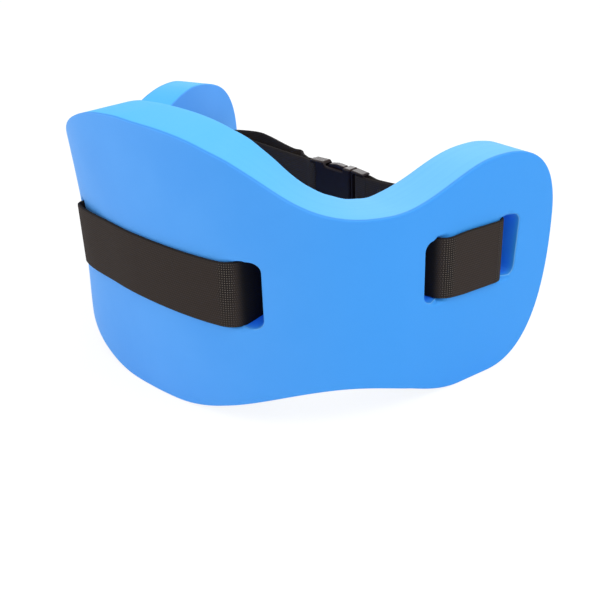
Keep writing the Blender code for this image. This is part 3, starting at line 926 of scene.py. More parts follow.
@dataclass(frozen=True)
class LobedOutline:
    """The die-cut outline of the slab, flat, in s and z. Handles run level or
    plumb from each point, by shares of the distance to its neighbour."""

    half_length: float = SLAB_HALF_LENGTH
    back_top: float = 0.2164
    waist_top: Pair = (0.170, 0.1556)
    wing_top: Pair = (0.265, 0.1774)
    tip_height: float = 0.1167
    wing_foot: Pair = (0.237, 0.267)
    waist_bottom: Pair = (0.136, 0.0280)
    back_foot_half: float = 0.020
    crest_shares: Pair = (0.635, 0.464)
    rise_shares: Pair = (0.388, 0.343)
    shoulder_shares: Pair = (0.698, 0.676)
    heel_shares: Pair = (0.660, 0.649)
    waist_outer_shares: Pair = (0.357, 0.368)
    waist_inner_shares: Pair = (0.350, 0.394)

    def right_half(self) -> list[tuple[Pair, Pair, Pair]]:
        """Anchors of the right half, from the top of the back clockwise.

        Returns:
            Each anchor's point and the steps to its handles before and after it.
        """
        top = (0.0, self.back_top)
        tip = (self.half_length, self.tip_height)
        foot_from, foot_to = ((s, 0.0) for s in self.wing_foot)
        foot = (self.back_foot_half, 0.0)
        still = (0.0, 0.0)

        def level(start: Pair, end: Pair, share: float) -> Pair:
            """Handle step along s."""
            return ((end[0] - start[0]) * share, 0.0)

        def plumb(start: Pair, end: Pair, share: float) -> Pair:
            """Handle step along z."""
            return (0.0, (end[1] - start[1]) * share)

        waist, wing, low = self.waist_top, self.wing_top, self.waist_bottom
        crest, rise, shoulder = self.crest_shares, self.rise_shares, self.shoulder_shares
        heel, outer, inner = self.heel_shares, self.waist_outer_shares, self.waist_inner_shares
        return [
            (top, still, level(top, waist, crest[0])),
            (waist, level(waist, top, crest[1]), level(waist, wing, rise[0])),
            (wing, level(wing, waist, rise[1]), level(wing, tip, shoulder[0])),
            (tip, plumb(tip, wing, shoulder[1]), plumb(tip, foot_to, heel[0])),
            (foot_to, level(foot_to, tip, heel[1]), still),
            (foot_from, still, level(foot_from, low, outer[0])),
            (low, level(low, foot_from, outer[1]), level(low, foot, inner[0])),
            (foot, level(foot, low, inner[1]), still),
        ]

    def anchors(self) -> list[tuple[Pair, Pair, Pair]]:
        """Anchors of the whole outline.

        Returns:
            Each anchor's point and handle steps, anticlockwise.
        """
        right = self.right_half()
        top, _, after = right[0]
        whole = [(top, (-after[0], after[1]), after)] + right[1:]
        for point, before, behind in reversed(right[1:]):
            flipped = (-point[0], point[1])
            whole.append((flipped, (-behind[0], behind[1]), (-before[0], before[1])))
        return [(point, behind, before) for point, before, behind in reversed(whole)]


@dataclass(frozen=True)
class WebbingSlot:
    """One slot in the foam, at an arc length and at a rise from the webbing's
    level, stretched a little by the webbing in it, with the radius at which the
    webbing turns round its edge on the outer face. The webbing may be threaded
    off its middle, its foot may lean in on the far side, and its top may drop on
    the near one."""

    at: float
    rise: float = 0.0
    half_height: float = 0.0260
    turn: float = FOLD_RADIUS
    threaded: float = 0.0
    far_lean: float = 0.0
    far_lift: float = 0.0
    near_drop: float = 0.0
    level: float = WEB_LEVEL
    width: float = SLOT_WIDTH
    corner: float = 0.0070

    @property
    def height(self) -> float:
        """Height of its middle."""
        return self.level + self.rise

    def holds(self, s: float, z: float, margin: float) -> bool:
        """Whether a flat point lies in it or within a margin of it."""
        near = abs(s - self.at) < self.width / 2.0 + margin
        return near and abs(z - self.height) < self.half_height + margin

    def outline(self, steps: int = 8) -> list[Vector]:
        """Outline of the slot, run clockwise because it is a hole.

        Args:
            steps: Straight lines in each corner.

        Returns:
            Its points in s and z.
        """
        half = self.width / 2.0
        low, high = self.height - self.half_height, self.height + self.half_height
        corners = [
            Vector((self.at - half, low)),
            Vector((self.at - half, high - self.near_drop)),
            Vector((self.at + half, high)),
            Vector((self.at + half - self.far_lean, low + self.far_lift)),
        ]
        points: list[Vector] = []
        for index, here in enumerate(corners):
            before = (corners[index - 1] - here).normalized()
            after = (corners[(index + 1) % 4] - here).normalized()
            points += corner_arc(here, before, after, self.corner, steps)
        return points


@dataclass(frozen=True)
class Fold:
    """A place where the webbing turns round an edge of the foam and presses it."""

    centre: Vector
    towards: Pair
    radius: float
    height: float

    def press(self, s: float, n: float, fade: float) -> Pair:
        """Where a point of the foam goes.

        Args:
            s: Its arc length.
            n: Its place in the thickness.
            fade: Share of the press that reaches it.

        Returns:
            The moved point's s and n.
        """
        over_s = (s - self.centre.x) * self.towards[0]
        over_n = (n - self.centre.y) * self.towards[1]
        reach = math.hypot(over_s, over_n)
        if over_s < 0.0 or over_n < 0.0 or reach <= self.radius:
            return s, n
        pull = 1.0 + (self.radius / reach - 1.0) * fade
        return (
            self.centre.x + over_s * pull * self.towards[0],
            self.centre.y + over_n * pull * self.towards[1],
        )


@dataclass(frozen=True)
class RimRise:
    """How far the top rims rise at one arc length."""

    at: float
    outer: float
    inner: float


@dataclass(frozen=True)
class SlabPull:
    """How the fastened webbing pulls the slab out of its even form: it is drawn in
    at the left of the back, so that it flares above and below, and its top rims
    rise or fall a little."""

    fade_in: Pair = (-0.185, -0.125)
    fade_out: Pair = (-0.070, -0.005)
    flare: float = 0.0026
    flare_heights: Pair = (0.152, 0.205)
    pinch: float = 0.0020
    pinch_level: float = 0.118
    pinch_reach: float = 0.050
    foot: float = 0.0018
    foot_heights: Pair = (0.020, 0.075)
    rim_heights: Pair = (0.128, 0.150)
    rims: tuple[RimRise, ...] = (
        RimRise(-0.300, 0.0000, 0.0000),
        RimRise(-0.250, -0.0020, 0.0024),
        RimRise(-0.225, -0.0018, 0.0026),
        RimRise(-0.190, 0.0000, 0.0000),
        RimRise(-0.100, 0.0000, 0.0004),
        RimRise(-0.060, 0.0000, 0.0016),
        RimRise(-0.040, 0.0000, 0.0012),
        RimRise(-0.020, -0.0006, 0.0002),
        RimRise(0.010, -0.0020, 0.0000),
        RimRise(0.060, -0.0018, 0.0002),
        RimRise(0.080, -0.0008, 0.0022),
        RimRise(0.100, -0.0003, 0.0034),
        RimRise(0.125, -0.0003, 0.0034),
        RimRise(0.140, -0.0003, 0.0026),
        RimRise(0.160, -0.0003, 0.0006),
        RimRise(0.180, -0.0007, -0.0007),
        RimRise(0.220, -0.0009, -0.0019),
        RimRise(0.260, -0.0005, -0.0021),
        RimRise(0.285, 0.0000, -0.0014),
        RimRise(0.310, 0.0000, 0.0000),
    )

    def out(self, s: float, z: float) -> float:
        """How far the slab moves out of its outer face.

        Args:
            s: Arc length.
            z: Height.

        Returns:
            The distance.
        """
        share = smooth_step(s, *self.fade_in) * (1.0 - smooth_step(s, *self.fade_out))
        if share == 0.0:
            return 0.0
        near = 1.0 - smooth_step(abs(z - self.pinch_level), 0.0, self.pinch_reach)
        top = self.flare * smooth_step(z, *self.flare_heights)
        low = self.foot * (1.0 - smooth_step(z, *self.foot_heights))
        return share * (top + low - self.pinch * near)

    def up(self, s: float, z: float, inner: float) -> float:
        """How far the slab rises near its top rims.

        Args:
            s: Arc length.
            z: Height.
            inner: Share of the way from the outer face to the inner one.

        Returns:
            The rise, which fades out below the rims.
        """
        for before, after in zip(self.rims, self.rims[1:]):
            if before.at <= s <= after.at:
                share = smooth_step(s, before.at, after.at)
                outer_rise = before.outer + (after.outer - before.outer) * share
                inner_rise = before.inner + (after.inner - before.inner) * share
                rise = outer_rise + (inner_rise - outer_rise) * inner
                return rise * smooth_step(z, *self.rim_heights)
        return 0.0


@dataclass
class FoamFloat:
    """The foam slab, with soft rims and with the slot edges that the webbing
    pulls round."""

    slab: SlabFrame
    outline: LobedOutline
    slots: list[WebbingSlot]
    folds: list[Fold]
    pull: SlabPull
    fold_reach: float = 0.016
    web_half_width: float = 0.0240
    press_fade: float = 0.0036
    wall_depths: Pair = (0.0020, 0.0075)
    grid_s: float = 0.005
    grid_z: float = 0.006
    fine_s: float = 0.0016
    fine_z: float = 0.0026
    fine_reach: float = 0.016
    least_share: float = 0.4
    wall_steps: int = 8
    rim_steps: int = 4
    curve_steps: int = 30
    sharp: float = math.radians(50.0)

    def flat_curve(self) -> bpy.types.Object:
        """The flat outline with its slots, as a curve that has the thickness.

        Returns:
            The curve object.
        """
        curve = bpy.data.curves.new("foam_float_soft", "CURVE")
        curve.dimensions = "2D"
        curve.fill_mode = "BOTH"
        curve.extrude = self.slab.thick / 2.0 - self.slab.edge_round
        curve.bevel_depth = self.slab.edge_round
        curve.bevel_resolution = self.rim_steps
        curve.offset = -self.slab.edge_round
        spline = curve.splines.new("BEZIER")
        spline.resolution_u = self.curve_steps
        anchors = self.outline.anchors()
        spline.bezier_points.add(len(anchors) - 1)
        for knot, (point, before, after) in zip(spline.bezier_points, anchors):
            knot.handle_left_type = "FREE"
            knot.handle_right_type = "FREE"
            knot.co = (*point, 0.0)
            knot.handle_left = (point[0] + before[0], point[1] + before[1], 0.0)
            knot.handle_right = (point[0] + after[0], point[1] + after[1], 0.0)
        spline.use_cyclic_u = True
        for slot in self.slots:
            points = slot.outline()
            hole = curve.splines.new("POLY")
            hole.points.add(len(points) - 1)
            for knot, point in zip(hole.points, points):
                knot.co = (point.x, point.y, 0.0, 1.0)
            hole.use_cyclic_u = True
        return new_object("foam_flat_outline", curve)

    def flat_shape(self) -> bmesh.types.BMesh:
        """The flat slab's surface, scored along the lines at which it bends.

        Returns:
            Its mesh in s, z and n.
        """
        outline = self.flat_curve()
        depsgraph = bpy.context.evaluated_depsgraph_get()
        mesh = bpy.data.meshes.new_from_object(outline.evaluated_get(depsgraph))
        bpy.data.objects.remove(outline, do_unlink=True)
        shape = bmesh.new()
        shape.from_mesh(mesh)
        bpy.data.meshes.remove(mesh)
        bmesh.ops.remove_doubles(shape, verts=shape.verts, dist=WELD)
        bmesh.ops.recalc_face_normals(shape, faces=shape.faces)
        scores = (self.score_places(), self.score_heights(), self.wall_places())
        for normal, places in zip(Matrix.Identity(3), scores):
            for place in places:
                everything = shape.verts[:] + shape.edges[:] + shape.faces[:]
                bmesh.ops.bisect_plane(
                    shape, geom=everything, dist=WELD, plane_co=normal * place, plane_no=normal
                )
        return shape

    def score_places(self) -> list[float]:
        """Where the slab is scored across.

        Returns:
            The arc lengths, closer together at a slot.
        """
        count = int(self.slab.half_length / self.grid_s)
        places = {round(k * self.grid_s, 5) for k in range(-count, count + 1)}
        fine = int(self.fine_reach / self.fine_s)
        for slot in self.slots:
            places |= {round(slot.at + k * self.fine_s, 5) for k in range(-fine, fine + 1)}
        return self.spaced(sorted(places), self.fine_s * self.least_share)

    def score_heights(self) -> list[float]:
        """Where the slab is scored along.

        Returns:
            The heights, closer together at the webbing.
        """
        count = int(self.outline.back_top / self.grid_z)
        places = {round(k * self.grid_z, 5) for k in range(1, count + 1)}
        low = min(slot.height - slot.half_height for slot in self.slots) - self.press_fade
        high = max(slot.height + slot.half_height for slot in self.slots) + self.press_fade
        fine = int((high - low) / self.fine_z)
        places |= {round(low + k * self.fine_z, 5) for k in range(fine + 1)}
        return self.spaced(sorted(places), self.fine_z * self.least_share)

    def wall_places(self) -> list[float]:
        """Distances from the middle surface of the lines along the cut edges."""
        half = self.slab.thick / 2.0 - self.slab.edge_round
        return [half * (2.0 * k / self.wall_steps - 1.0) for k in range(1, self.wall_steps)]

    def spaced(self, places: Iterable[float], least: float) -> list[float]:
        """Leave out places that lie too close to the one before.

        Args:
            places: The places, in order.
            least: The least distance between two.

        Returns:
            The places that are kept.
        """
        kept: list[float] = []
        for place in places:
            if not kept or place - kept[-1] >= least:
                kept.append(place)
        return kept

    def pressed(self, flat: Vector) -> Vector:
        """Where a flat point goes as the webbing pulls the slot edges round.

        Args:
            flat: The point in s, z and n.

        Returns:
            The moved point in s, z and n.
        """
        s, z, n = flat
        for fold in self.folds:
            if abs(s - fold.centre.x) > self.fold_reach:
                continue
            off = abs(z - fold.height) - self.web_half_width
            s, n = fold.press(s, n, 1.0 - smooth_step(off, 0.0, self.press_fade))
        return Vector((s, z, n))

    def build(self, finish: FoamFinish) -> bpy.types.Object:
        """Build and dress the slab.

        Args:
            finish: Its finish.

        Returns:
            The slab.
        """
        shape = self.flat_shape()
        cut = shape.verts.layers.float.new(CUT_FACE)
        wall = shape.verts.layers.float.new(SLOT_WALL)
        place = shape.verts.layers.float_vector.new(SLAB_PLACE)
        painted_rim_shading = shape.verts.layers.float.new(SLOT_HIGHLIGHT)
        half = self.slab.thick / 2.0
        for vert in shape.verts:
            depth = half - abs(vert.co.z)
            on_cut = smooth_step(depth, ON_SURFACE, self.slab.edge_round)
            inside = any(slot.holds(vert.co.x, vert.co.y, ON_SURFACE) for slot in self.slots)
            vert[wall] = smooth_step(depth, *self.wall_depths) if inside else 0.0
            # Mask of the painted highlight round the slot edges, strongest midway round their
            # rounding.
            vert[painted_rim_shading] = 4.0 * on_cut * (1.0 - on_cut) if inside else 0.0
            vert[cut] = 0.0 if inside else on_cut
            vert[place] = vert.co
            s, z, n = self.pressed(vert.co)
            out, up = self.pull.out(s, z), self.pull.up(s, z, 0.5 - n / self.slab.thick)
            vert.co = self.slab.point(s, n + out, z + up)
        bmesh.ops.recalc_face_normals(shape, faces=shape.faces)
        slab = new_object("foam_slab_soft", mesh_from(shape, "foam_slab_soft"))
        dress(slab, finish.material(), self.sharp)
        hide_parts("foam_float")
        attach(slab, Carrier.BELT.value)
        report(slab, Carrier.BELT)
        return slab


# Webbing


@dataclass(frozen=True)
class WebbingCut:
    """The webbing's section: a flat band whose woven edges are rounded."""

    width: float = 0.050
    thick: float = 0.0024
    edge: float = 0.0011
    columns: int = 26
    edge_steps: int = 6

    def outline(self) -> list[Pair]:
        """Closed section as (across, out), the outer face first.

        Returns:
            Its points, anticlockwise seen along the webbing.
        """
        half = self.width / 2.0
        lip = self.thick / 2.0
        flat = half - self.edge
        outer = [(-flat + 2.0 * flat * k / self.columns, lip) for k in range(self.columns + 1)]
        angles = half_turn(self.edge_steps)[1:-1]
        top = [(flat + self.edge * math.sin(a), lip * math.cos(a)) for a in angles]
        inner = [(a, -b) for a, b in reversed(outer)]
        return outer + top + inner + [(-a, -b) for a, b in top]


@dataclass
class Webbing:
    """The belt's one length of webbing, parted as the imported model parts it.

    From the left wing slot it runs straight to the socket's bar and back as the
    loose adjusting tail, which bulges away from the strap. On the plug it turns
    round the middle bar and is sewn back along the strap."""

    slab: SlabFrame
    buckle: BuckleFrame
    slots: list[WebbingSlot]
    pull: SlabPull
    cut: WebbingCut = field(default_factory=WebbingCut)
    height: float = WEB_LEVEL
    buckle_drop: float = 0.0022
    gap: float = 0.0003
    slot_spare: float = 0.0008
    pinch_spare: float = 0.0003
    pinch_fade: float = 0.012
    back_arch: float = 0.0024
    bulge: float = 0.0030
    bulge_from: Pair = (-0.135, -0.105)
    bulge_to: Pair = (-0.078, -0.030)
    step: float = 0.0016
    turn_curves: Pair = (22.0, 60.0)
    turn_depths: Pair = (0.0042, 0.0012)
    sunk_shade_depths: Pair = (0.0022, 0.0080)
    sunk_shade_within: Pair = (-0.020, 0.0)
    socket_bar: float = -0.0475
    socket_bar_radius: float = 0.0025
    plug_bar_radius: float = 0.0017
    plug_length: float = 0.0150
    middle_bar: float = 0.0075
    layer_join: float = 0.0105
    sewn_length: float = 0.034
    tail_reach: float = 0.132
    tail_bulge: float = 0.022
    tail_bend_shares: tuple[Pair, ...] = (
        (0.160, 0.24),
        (0.235, 0.51),
        (0.305, 0.46),
        (0.460, 0.64),
        (0.640, 0.89),
        (0.780, 0.98),
        (0.910, 0.70),
        (1.000, 0.30),
    )
    tail_hem: float = 0.010
    left_wing_reach: float = 0.012
    left_buckle_reach: float = 0.060
    right_wing_reach: float = 0.024
    right_buckle_reach: float = 0.037
    free_easing_from: float = 0.4
    free_steps: int = 64
    turn_steps: int = 10
    bar_steps: int = 20
    spread_steps: int = 10
    hem_steps: int = 12
    tail_steps: int = 12
    bend_reach: int = 3
    sharp: float = math.radians(60.0)

    def lift(self) -> float:
        """Distance of the webbing's middle from the slab's middle surface."""
        return self.slab.thick / 2.0 + self.gap + self.cut.thick / 2.0

    def inset(self) -> float:
        """Distance of the webbing's middle from the slot wall that it rounds."""
        return self.cut.thick / 2.0 + self.gap + self.slot_spare

    def places(self, side: float) -> list[float]:
        """Distances along the slab of one side's slots, from the back to the wing."""
        return sorted(abs(slot.at) for slot in self.slots if slot.at * side > 0.0)

    def rise(self, s: float) -> float:
        """How far the webbing is threaded off its level, as the belt was put on.

        Args:
            s: Arc length from the middle of the back.

        Returns:
            The rise of the webbing's middle, which eases from slot to slot.
        """
        row = sorted(self.slots, key=lambda slot: slot.at)
        if s <= row[0].at:
            return row[0].rise + row[0].threaded
        for left, right in zip(row, row[1:]):
            if s <= right.at:
                share = smooth_step(s, left.at, right.at)
                low, high = left.rise + left.threaded, right.rise + right.threaded
                arch = self.back_arch if left.at < 0.0 < right.at else 0.0
                return low + (high - low) * share + arch * 4.0 * share * (1.0 - share)
        return row[-1].rise + row[-1].threaded

    def pinch(self, s: float) -> float:
        """Share of its width that the webbing keeps where a slot squeezes it.

        Args:
            s: Arc length from the middle of the back.

        Returns:
            The share.
        """
        kept = 1.0
        for slot in self.slots:
            fade_end = self.pinch_fade + slot.width
            near = 1.0 - smooth_step(abs(s - slot.at), slot.width / 2.0, fade_end)
            squeezed = min(1.0, 2.0 * (slot.half_height - self.pinch_spare) / self.cut.width)
            kept = min(kept, 1.0 - (1.0 - squeezed) * near)
        return kept

    def swell(self, s: float, n: float) -> float:
        """How far the webbing stands off the back's outer face at the left."""
        along = smooth_step(s, *self.bulge_from) * (1.0 - smooth_step(s, *self.bulge_to))
        return self.bulge * along * smooth_step(n, 0.0, self.lift())

    def half_corners(self, side: float) -> list[Pair]:
        """The webbing's corners through one half of the slab.

        Args:
            side: 1 for the right half and -1 for the left.

        Returns:
            The corners as (s, n), from the back to the wing slot.
        """
        back, hip, wing = self.places(side)
        lift = self.lift()
        near = self.inset() - SLOT_WIDTH / 2.0
        corners = [
            (back + near, lift),
            (back - near, -lift),
            (hip + near, -lift),
            (hip - near, lift),
            (wing + near, lift),
        ]
        return [(side * s, n) for s, n in corners]

    def woven_corners(self) -> list[Pair]:
        """The webbing's corners through the whole slab, as (s, n).

        Returns:
            The corners from the left wing slot's mouth to the right one's.
        """
        first, last = self.mouth(-1.0), self.mouth(1.0)
        left = self.half_corners(-1.0)[::-1]
        left[0] = (first[0], self.lift())
        return [first] + left + self.half_corners(1.0) + [last]

    def mouth(self, side: float) -> Pair:
        """Slab frame point where the webbing leaves one side's wing slot."""
        wing = side * self.places(side)[2]
        return (wing + self.inset() - SLOT_WIDTH / 2.0, -self.lift())

    def inward(self, side: float) -> Vector:
        """Unit plan direction in which the webbing leaves one side's wing slot."""
        s, n = self.mouth(side)
        return (self.slab.plan(s, n) - self.slab.plan(s, 0.0)).normalized()

    def turns(self) -> list[tuple[Vector, Vector, Vector, float]]:
        """The webbing's turns through the slab.

        Returns:
            Each turn's corner, the unit directions from it and its radius.
        """
        corners = [Vector(corner) for corner in self.woven_corners()]
        found = []
        for before, here, after in zip(corners, corners[1:], corners[2:]):
            slot = min(self.slots, key=lambda slot: abs(slot.at - here.x))
            radius = slot.turn if here.y > 0.0 else FOLD_RADIUS
            sides = (before - here).normalized(), (after - here).normalized()
            found.append((here, *sides, radius))
        return found

    def folds(self) -> list[Fold]:
        """Where the webbing presses the foam. The first turn lies in the open
        slot and presses nothing.

        Returns:
            The folds, from the left wing to the right one.
        """
        pressed = []
        for here, before, after, radius in self.turns()[1:]:
            centre = arc_centre(here, before, after, radius)
            way = here - centre
            towards = (math.copysign(1.0, way.x), math.copysign(1.0, way.y))
            foam_radius = radius - self.cut.thick / 2.0 - self.gap
            pressed.append(Fold(centre, towards, foam_radius, self.height + self.rise(here.x)))
        return pressed

    def woven_route(self) -> list[Vector]:
        """The webbing's middle through the slab.

        Returns:
            Its slab frame points, with n as y.
        """
        corners = [Vector(corner) for corner in self.woven_corners()]
        points = [corners[0]]
        for turn in self.turns():
            points += corner_arc(*turn, self.turn_steps)
        points.append(corners[-1])
        return even_path(points, self.step)

    def woven_band(self) -> tuple[list[Vector], list[Vector]]:
        """The webbing through the slab.

        Returns:
            World points of its middle, and at each the share of its width that it
            keeps, how far its weave opens, which also sets its painted glint, and how far
            it lies inside a slot, which sets its painted shade.
        """
        route, states = [], []
        for s, n in self.woven_route():
            out = self.swell(s, n) + self.pull.out(s, self.height)
            route.append(self.slab.point(s, n + out, self.height + self.rise(s)))
            depth = self.lift() - n
            # How far the weave opens at a bend, which also sets its painted glint.
            opened_with_glint = 1.0 - smooth_step(depth, self.turn_depths[1], self.turn_depths[0])
            # Mask of the painted shade where the band lies inside a slot.
            sunk_shade = smooth_step(depth, *self.sunk_shade_depths) * smooth_step(n, *self.sunk_shade_within)
            states.append(Vector((self.pinch(s), opened_with_glint, sunk_shade)))
        return route, [
            Vector((state.x, state.y * max(0.0, bend), state.z))
            for state, bend in zip(states, self.bends(route))
        ]

    def buckle_level(self) -> float:
        """Height of the webbing's middle at the buckle."""
        return self.height - self.buckle_drop

    def sewn_lap(self) -> float:
        """Distance of the sewn layer's middle from the strap's middle."""
        return self.cut.thick + 2.0 * self.gap

    def bar_lap(self, radius: float) -> float:
        """Distance of the webbing's middle from the middle of a bar."""
        return radius + self.gap + self.cut.thick / 2.0

    def layer_lap(self) -> float:
        """Distance of a layer's middle from the middle of its doubled strap."""
        return (self.cut.thick + self.gap) / 2.0

    def bar_turn(self, u: float, radius: float, direction: float) -> list[Pair]:
        """Half turn round a bar, from the wearer's side.

        Args:
            u: The bar's place along the buckle.
            radius: The bar's radius.
            direction: The side of the bar that it goes round.

        Returns:
            Its points in u and v.
        """
        lap = self.bar_lap(radius)
        return [
            (u + direction * lap * math.sin(a), -lap * math.cos(a))
            for a in half_turn(self.bar_steps)
        ]

    def folded_hem(self, points: Sequence[Vector]) -> list[Vector]:
        """Fold the end of a path back on its left side for a hem.

        Args:
            points: The path's last points.

        Returns:
            The points that follow them.
        """
        along = (points[-1] - points[-2]).normalized()
        left, lap = left_of(along), self.layer_lap()
        centre = points[-1] + left * lap
        angles = half_turn(self.hem_steps)[1:]
        turn = [centre + (along * math.sin(a) - left * math.cos(a)) * lap for a in angles]
        return turn + even_path([turn[-1], turn[-1] - along * self.tail_hem], self.step)[1:]

    def tail_plan(self, start: Vector) -> list[Vector]:
        """The loose tail, without its hem.

        Args:
            start: Where it leaves the strap's outer layer.

        Returns:
            Its plan points.
        """
        bends = [
            self.buckle.plan(self.socket_bar - self.tail_reach * along, self.tail_bulge * out)
            for along, out in self.tail_bend_shares
        ]
        return smooth_path([start] + bends, self.tail_steps)

    def socket_end_plan(self) -> list[Vector]:
        """The strap on the socket's side, from the left wing slot to the socket's
        bar, round it, and out as the hemmed tail.

        Returns:
            Its plan points.
        """
        bar = self.socket_bar
        joined = bar - self.layer_join
        close, wide = self.layer_lap(), self.bar_lap(self.socket_bar_radius)
        shares = [k / self.spread_steps for k in range(1, self.spread_steps)]
        spread = [
            (
                joined + (bar - joined) * share,
                close + (wide - close) * smooth_step(share, 0.0, 1.0),
            )
            for share in shares
        ]
        inward = self.inward(-1.0)
        mouth = self.slab.plan(*self.mouth(-1.0)) + inward * self.gap
        meet = self.buckle.plan(joined, -close)
        back = self.buckle.direction() * -self.left_buckle_reach
        free = bezier_path(mouth, inward * self.left_wing_reach, back, meet, self.free_steps)
        layer = [(u, -v) for u, v in spread] + self.bar_turn(bar, self.socket_bar_radius, 1.0)
        layer += [(u, v) for u, v in reversed(spread)] + [(joined, close)]
        loop = [self.buckle.plan(u, v) for u, v in layer]
        tail = self.tail_plan(loop[-1])
        return free + loop + tail[1:] + self.folded_hem(tail)

    def strap_plan(self) -> list[Vector]:
        """The strap between the plug's end and the right wing slot.

        Returns:
            Its plan points.
        """
        end = self.plug_length + self.gap + self.cut.thick
        start = self.buckle.plan(end, -self.bar_lap(self.plug_bar_radius))
        inward = self.inward(1.0)
        mouth = self.slab.plan(*self.mouth(1.0)) + inward * self.gap
        along = self.buckle.direction() * self.right_buckle_reach
        return bezier_path(start, along, inward * self.right_wing_reach, mouth, self.free_steps)

    def strap_frames(self) -> list[tuple[float, Vector, Vector]]:
        """Places along the strap, from the plug.

        Returns:
            At each its run, plan point and unit direction out of its outer face.
        """
        strap = self.strap_plan()
        frames = []
        run = 0.0
        for before, here, after in zip(strap, strap[1:], strap[2:]):
            run += (here - before).length
            along = (after - before).normalized()
            frames.append((run, here, left_of(along)))
        return frames

    def sewn_plan(self) -> list[Vector]:
        """The layer that is sewn back along the strap.

        Returns:
            Its plan points.
        """
        return [
            place + out * self.sewn_lap()
            for run, place, out in self.strap_frames()
            if self.layer_join <= run <= self.sewn_length
        ]

    def plug_end_plan(self) -> list[Vector]:
        """The webbing on the plug: under the end bar, round the middle bar, over
        the end bar, then back along the strap.

        Returns:
            Its plan points.
        """
        lap = self.bar_lap(self.plug_bar_radius)
        layer = [(self.plug_length + self.cut.thick, -lap)]
        layer += self.bar_turn(self.middle_bar, self.plug_bar_radius, -1.0)
        layer.append((self.plug_length - self.plug_bar_radius, lap))
        loop = even_path([self.buckle.plan(u, v) for u, v in layer], self.step)
        sewn = self.sewn_plan()
        along = self.buckle.direction() * (self.layer_join / 2.0)
        back = (sewn[0] - sewn[1]).normalized() * (self.layer_join / 2.0)
        joining = bezier_path(loop[-1], along, back, sewn[0], self.spread_steps)
        return loop + joining[1:] + sewn[1:]

    def upright(
        self, plan: Sequence[Vector], rises: Pair = (0.0, 0.0), over: Pair = (0.0, 1.0)
    ) -> list[Vector]:
        """World points of a plan path.

        Args:
            plan: Its plan points.
            rises: Its rises from the buckle's level at its two ends.
            over: Counts of points between which it eases from one to the other.

        Returns:
            The points.
        """
        first, last = rises
        low = self.buckle_level() + first
        return [
            Vector((*p, low + (last - first) * smooth_step(k, *over)))
            for k, p in enumerate(plan)
        ]

    def bends(self, route: Sequence[Vector]) -> list[float]:
        """How tightly the band turns along a route.

        Args:
            route: World points of its middle.

        Returns:
            At each point 0 where it runs straight, up to 1 or down to -1 where it
            turns, positive where its outer face is the stretched one.
        """
        last = len(route) - 1
        found = []
        for index, here in enumerate(route):
            before = here - route[max(index - self.bend_reach, 0)]
            after = route[min(index + self.bend_reach, last)] - here
            if min(before.length, after.length) < WELD:
                found.append(0.0)
                continue
            angle = math.atan2(before.xy.cross(after.xy), before.xy.dot(after.xy))
            curve = 2.0 * angle / (before.length + after.length)
            found.append(math.copysign(smooth_step(abs(curve), *self.turn_curves), curve))
        return found

    def sweep(
        self, name: str, route: Sequence[Vector], start: float, states: Sequence[Vector] = ()
    ) -> bpy.types.Object:
        """Sweep the webbing's section along a route.

        Args:
            name: The piece's name.
            route: World points of its middle.
            start: Length along the webbing at the first point.
            states: At each point the share of its width that it keeps, how far
            its weave opens, with its painted glint, and how far it lies inside a
            slot, for its painted shade.

        Returns:
            The band.
        """
        section = self.cut.outline()
        shape = bmesh.new()
        place = shape.verts.layers.float_vector.new(WEB_PLACE)
        turn = shape.verts.layers.float.new(WEB_TURN)
        sunk_shade = shape.verts.layers.float.new(WEB_SUNK_SHADE)
        plain = Vector((1.0, 0.0, 0.0))
        rings = []
        run = start
        for index, here in enumerate(route):
            before = route[max(index - 1, 0)]
            after = route[min(index + 1, len(route) - 1)]
            run += (here - before).length
            along = (after - before).normalized()
            out = along.cross(UP).normalized()
            state = states[index] if states else plain
            across = out.cross(along).normalized() * state.x
            ring = []
            for a, b in section:
                vert = shape.verts.new(here + across * a + out * b)
                vert[place] = (run, a, b)
                vert[turn] = state.y if b > 0.0 else 0.0
                vert[sunk_shade] = state.z
                ring.append(vert)
            rings.append(ring)
        loft(shape, rings)
        bmesh.ops.recalc_face_normals(shape, faces=shape.faces)
        return new_object(name, mesh_from(shape, name))

    def build(self, finish: WebbingFinish) -> list[bpy.types.Object]:
        """Build and dress the webbing.

        Args:
            finish: Its finish.

        Returns:
            Its pieces.
        """
        material = finish.material()
        drop = self.buckle_drop
        wing = self.places(1.0)[2]
        easing = (self.free_easing_from * self.free_steps, self.free_steps)
        strap = self.upright(self.strap_plan(), (0.0, drop + self.rise(wing)), easing)
        rises = (drop + self.rise(-wing), 0.0)
        socket_end = self.upright(self.socket_end_plan(), rises, (0.0, self.free_steps))
        woven, states = self.woven_band()
        plug_end = self.upright(self.plug_end_plan())
        bands = [
            ("webbing_socket_side", socket_end, (), "webbing_socket_end", Carrier.BELT),
            ("webbing_woven", woven, states, "webbing_harness", Carrier.BELT),
            ("webbing_free_strap", strap[::-1], (), "webbing_free_stretch", Carrier.STRAP),
            ("webbing_plug_side", plug_end, (), "webbing_plug_end", Carrier.PLUG),
        ]
        made = []
        run = 0.0
        for name, route, shares, node, carrier in bands:
            band = self.sweep(name, route, run, shares)
            run += sum((b - a).length for a, b in zip(route, route[1:]))
            dress(band, material, self.sharp)
            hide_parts(node)
            self.carry(band, carrier)
            made.append(band)
        return made

    def carry(self, piece: bpy.types.Object, carrier: Carrier) -> None:
        """Make a piece move with the plug or the belt; a piece on the strap between them has
        its transform baked and is left unattached.

        Args:
            piece: The piece.
            carrier: What it moves with.
        """
        if carrier is Carrier.STRAP:
            ends = self.upright([self.strap_plan()[0], self.strap_plan()[-1]])
            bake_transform(piece)
        else:
            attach(piece, carrier.value)
        report(piece, carrier)


# Sewing


@dataclass(frozen=True)
class StitchRow:
    """One row of stitches across the webbing: its plan point, and which way is out
    of the face that it is sewn on."""

    place: Vector
    out: Vector


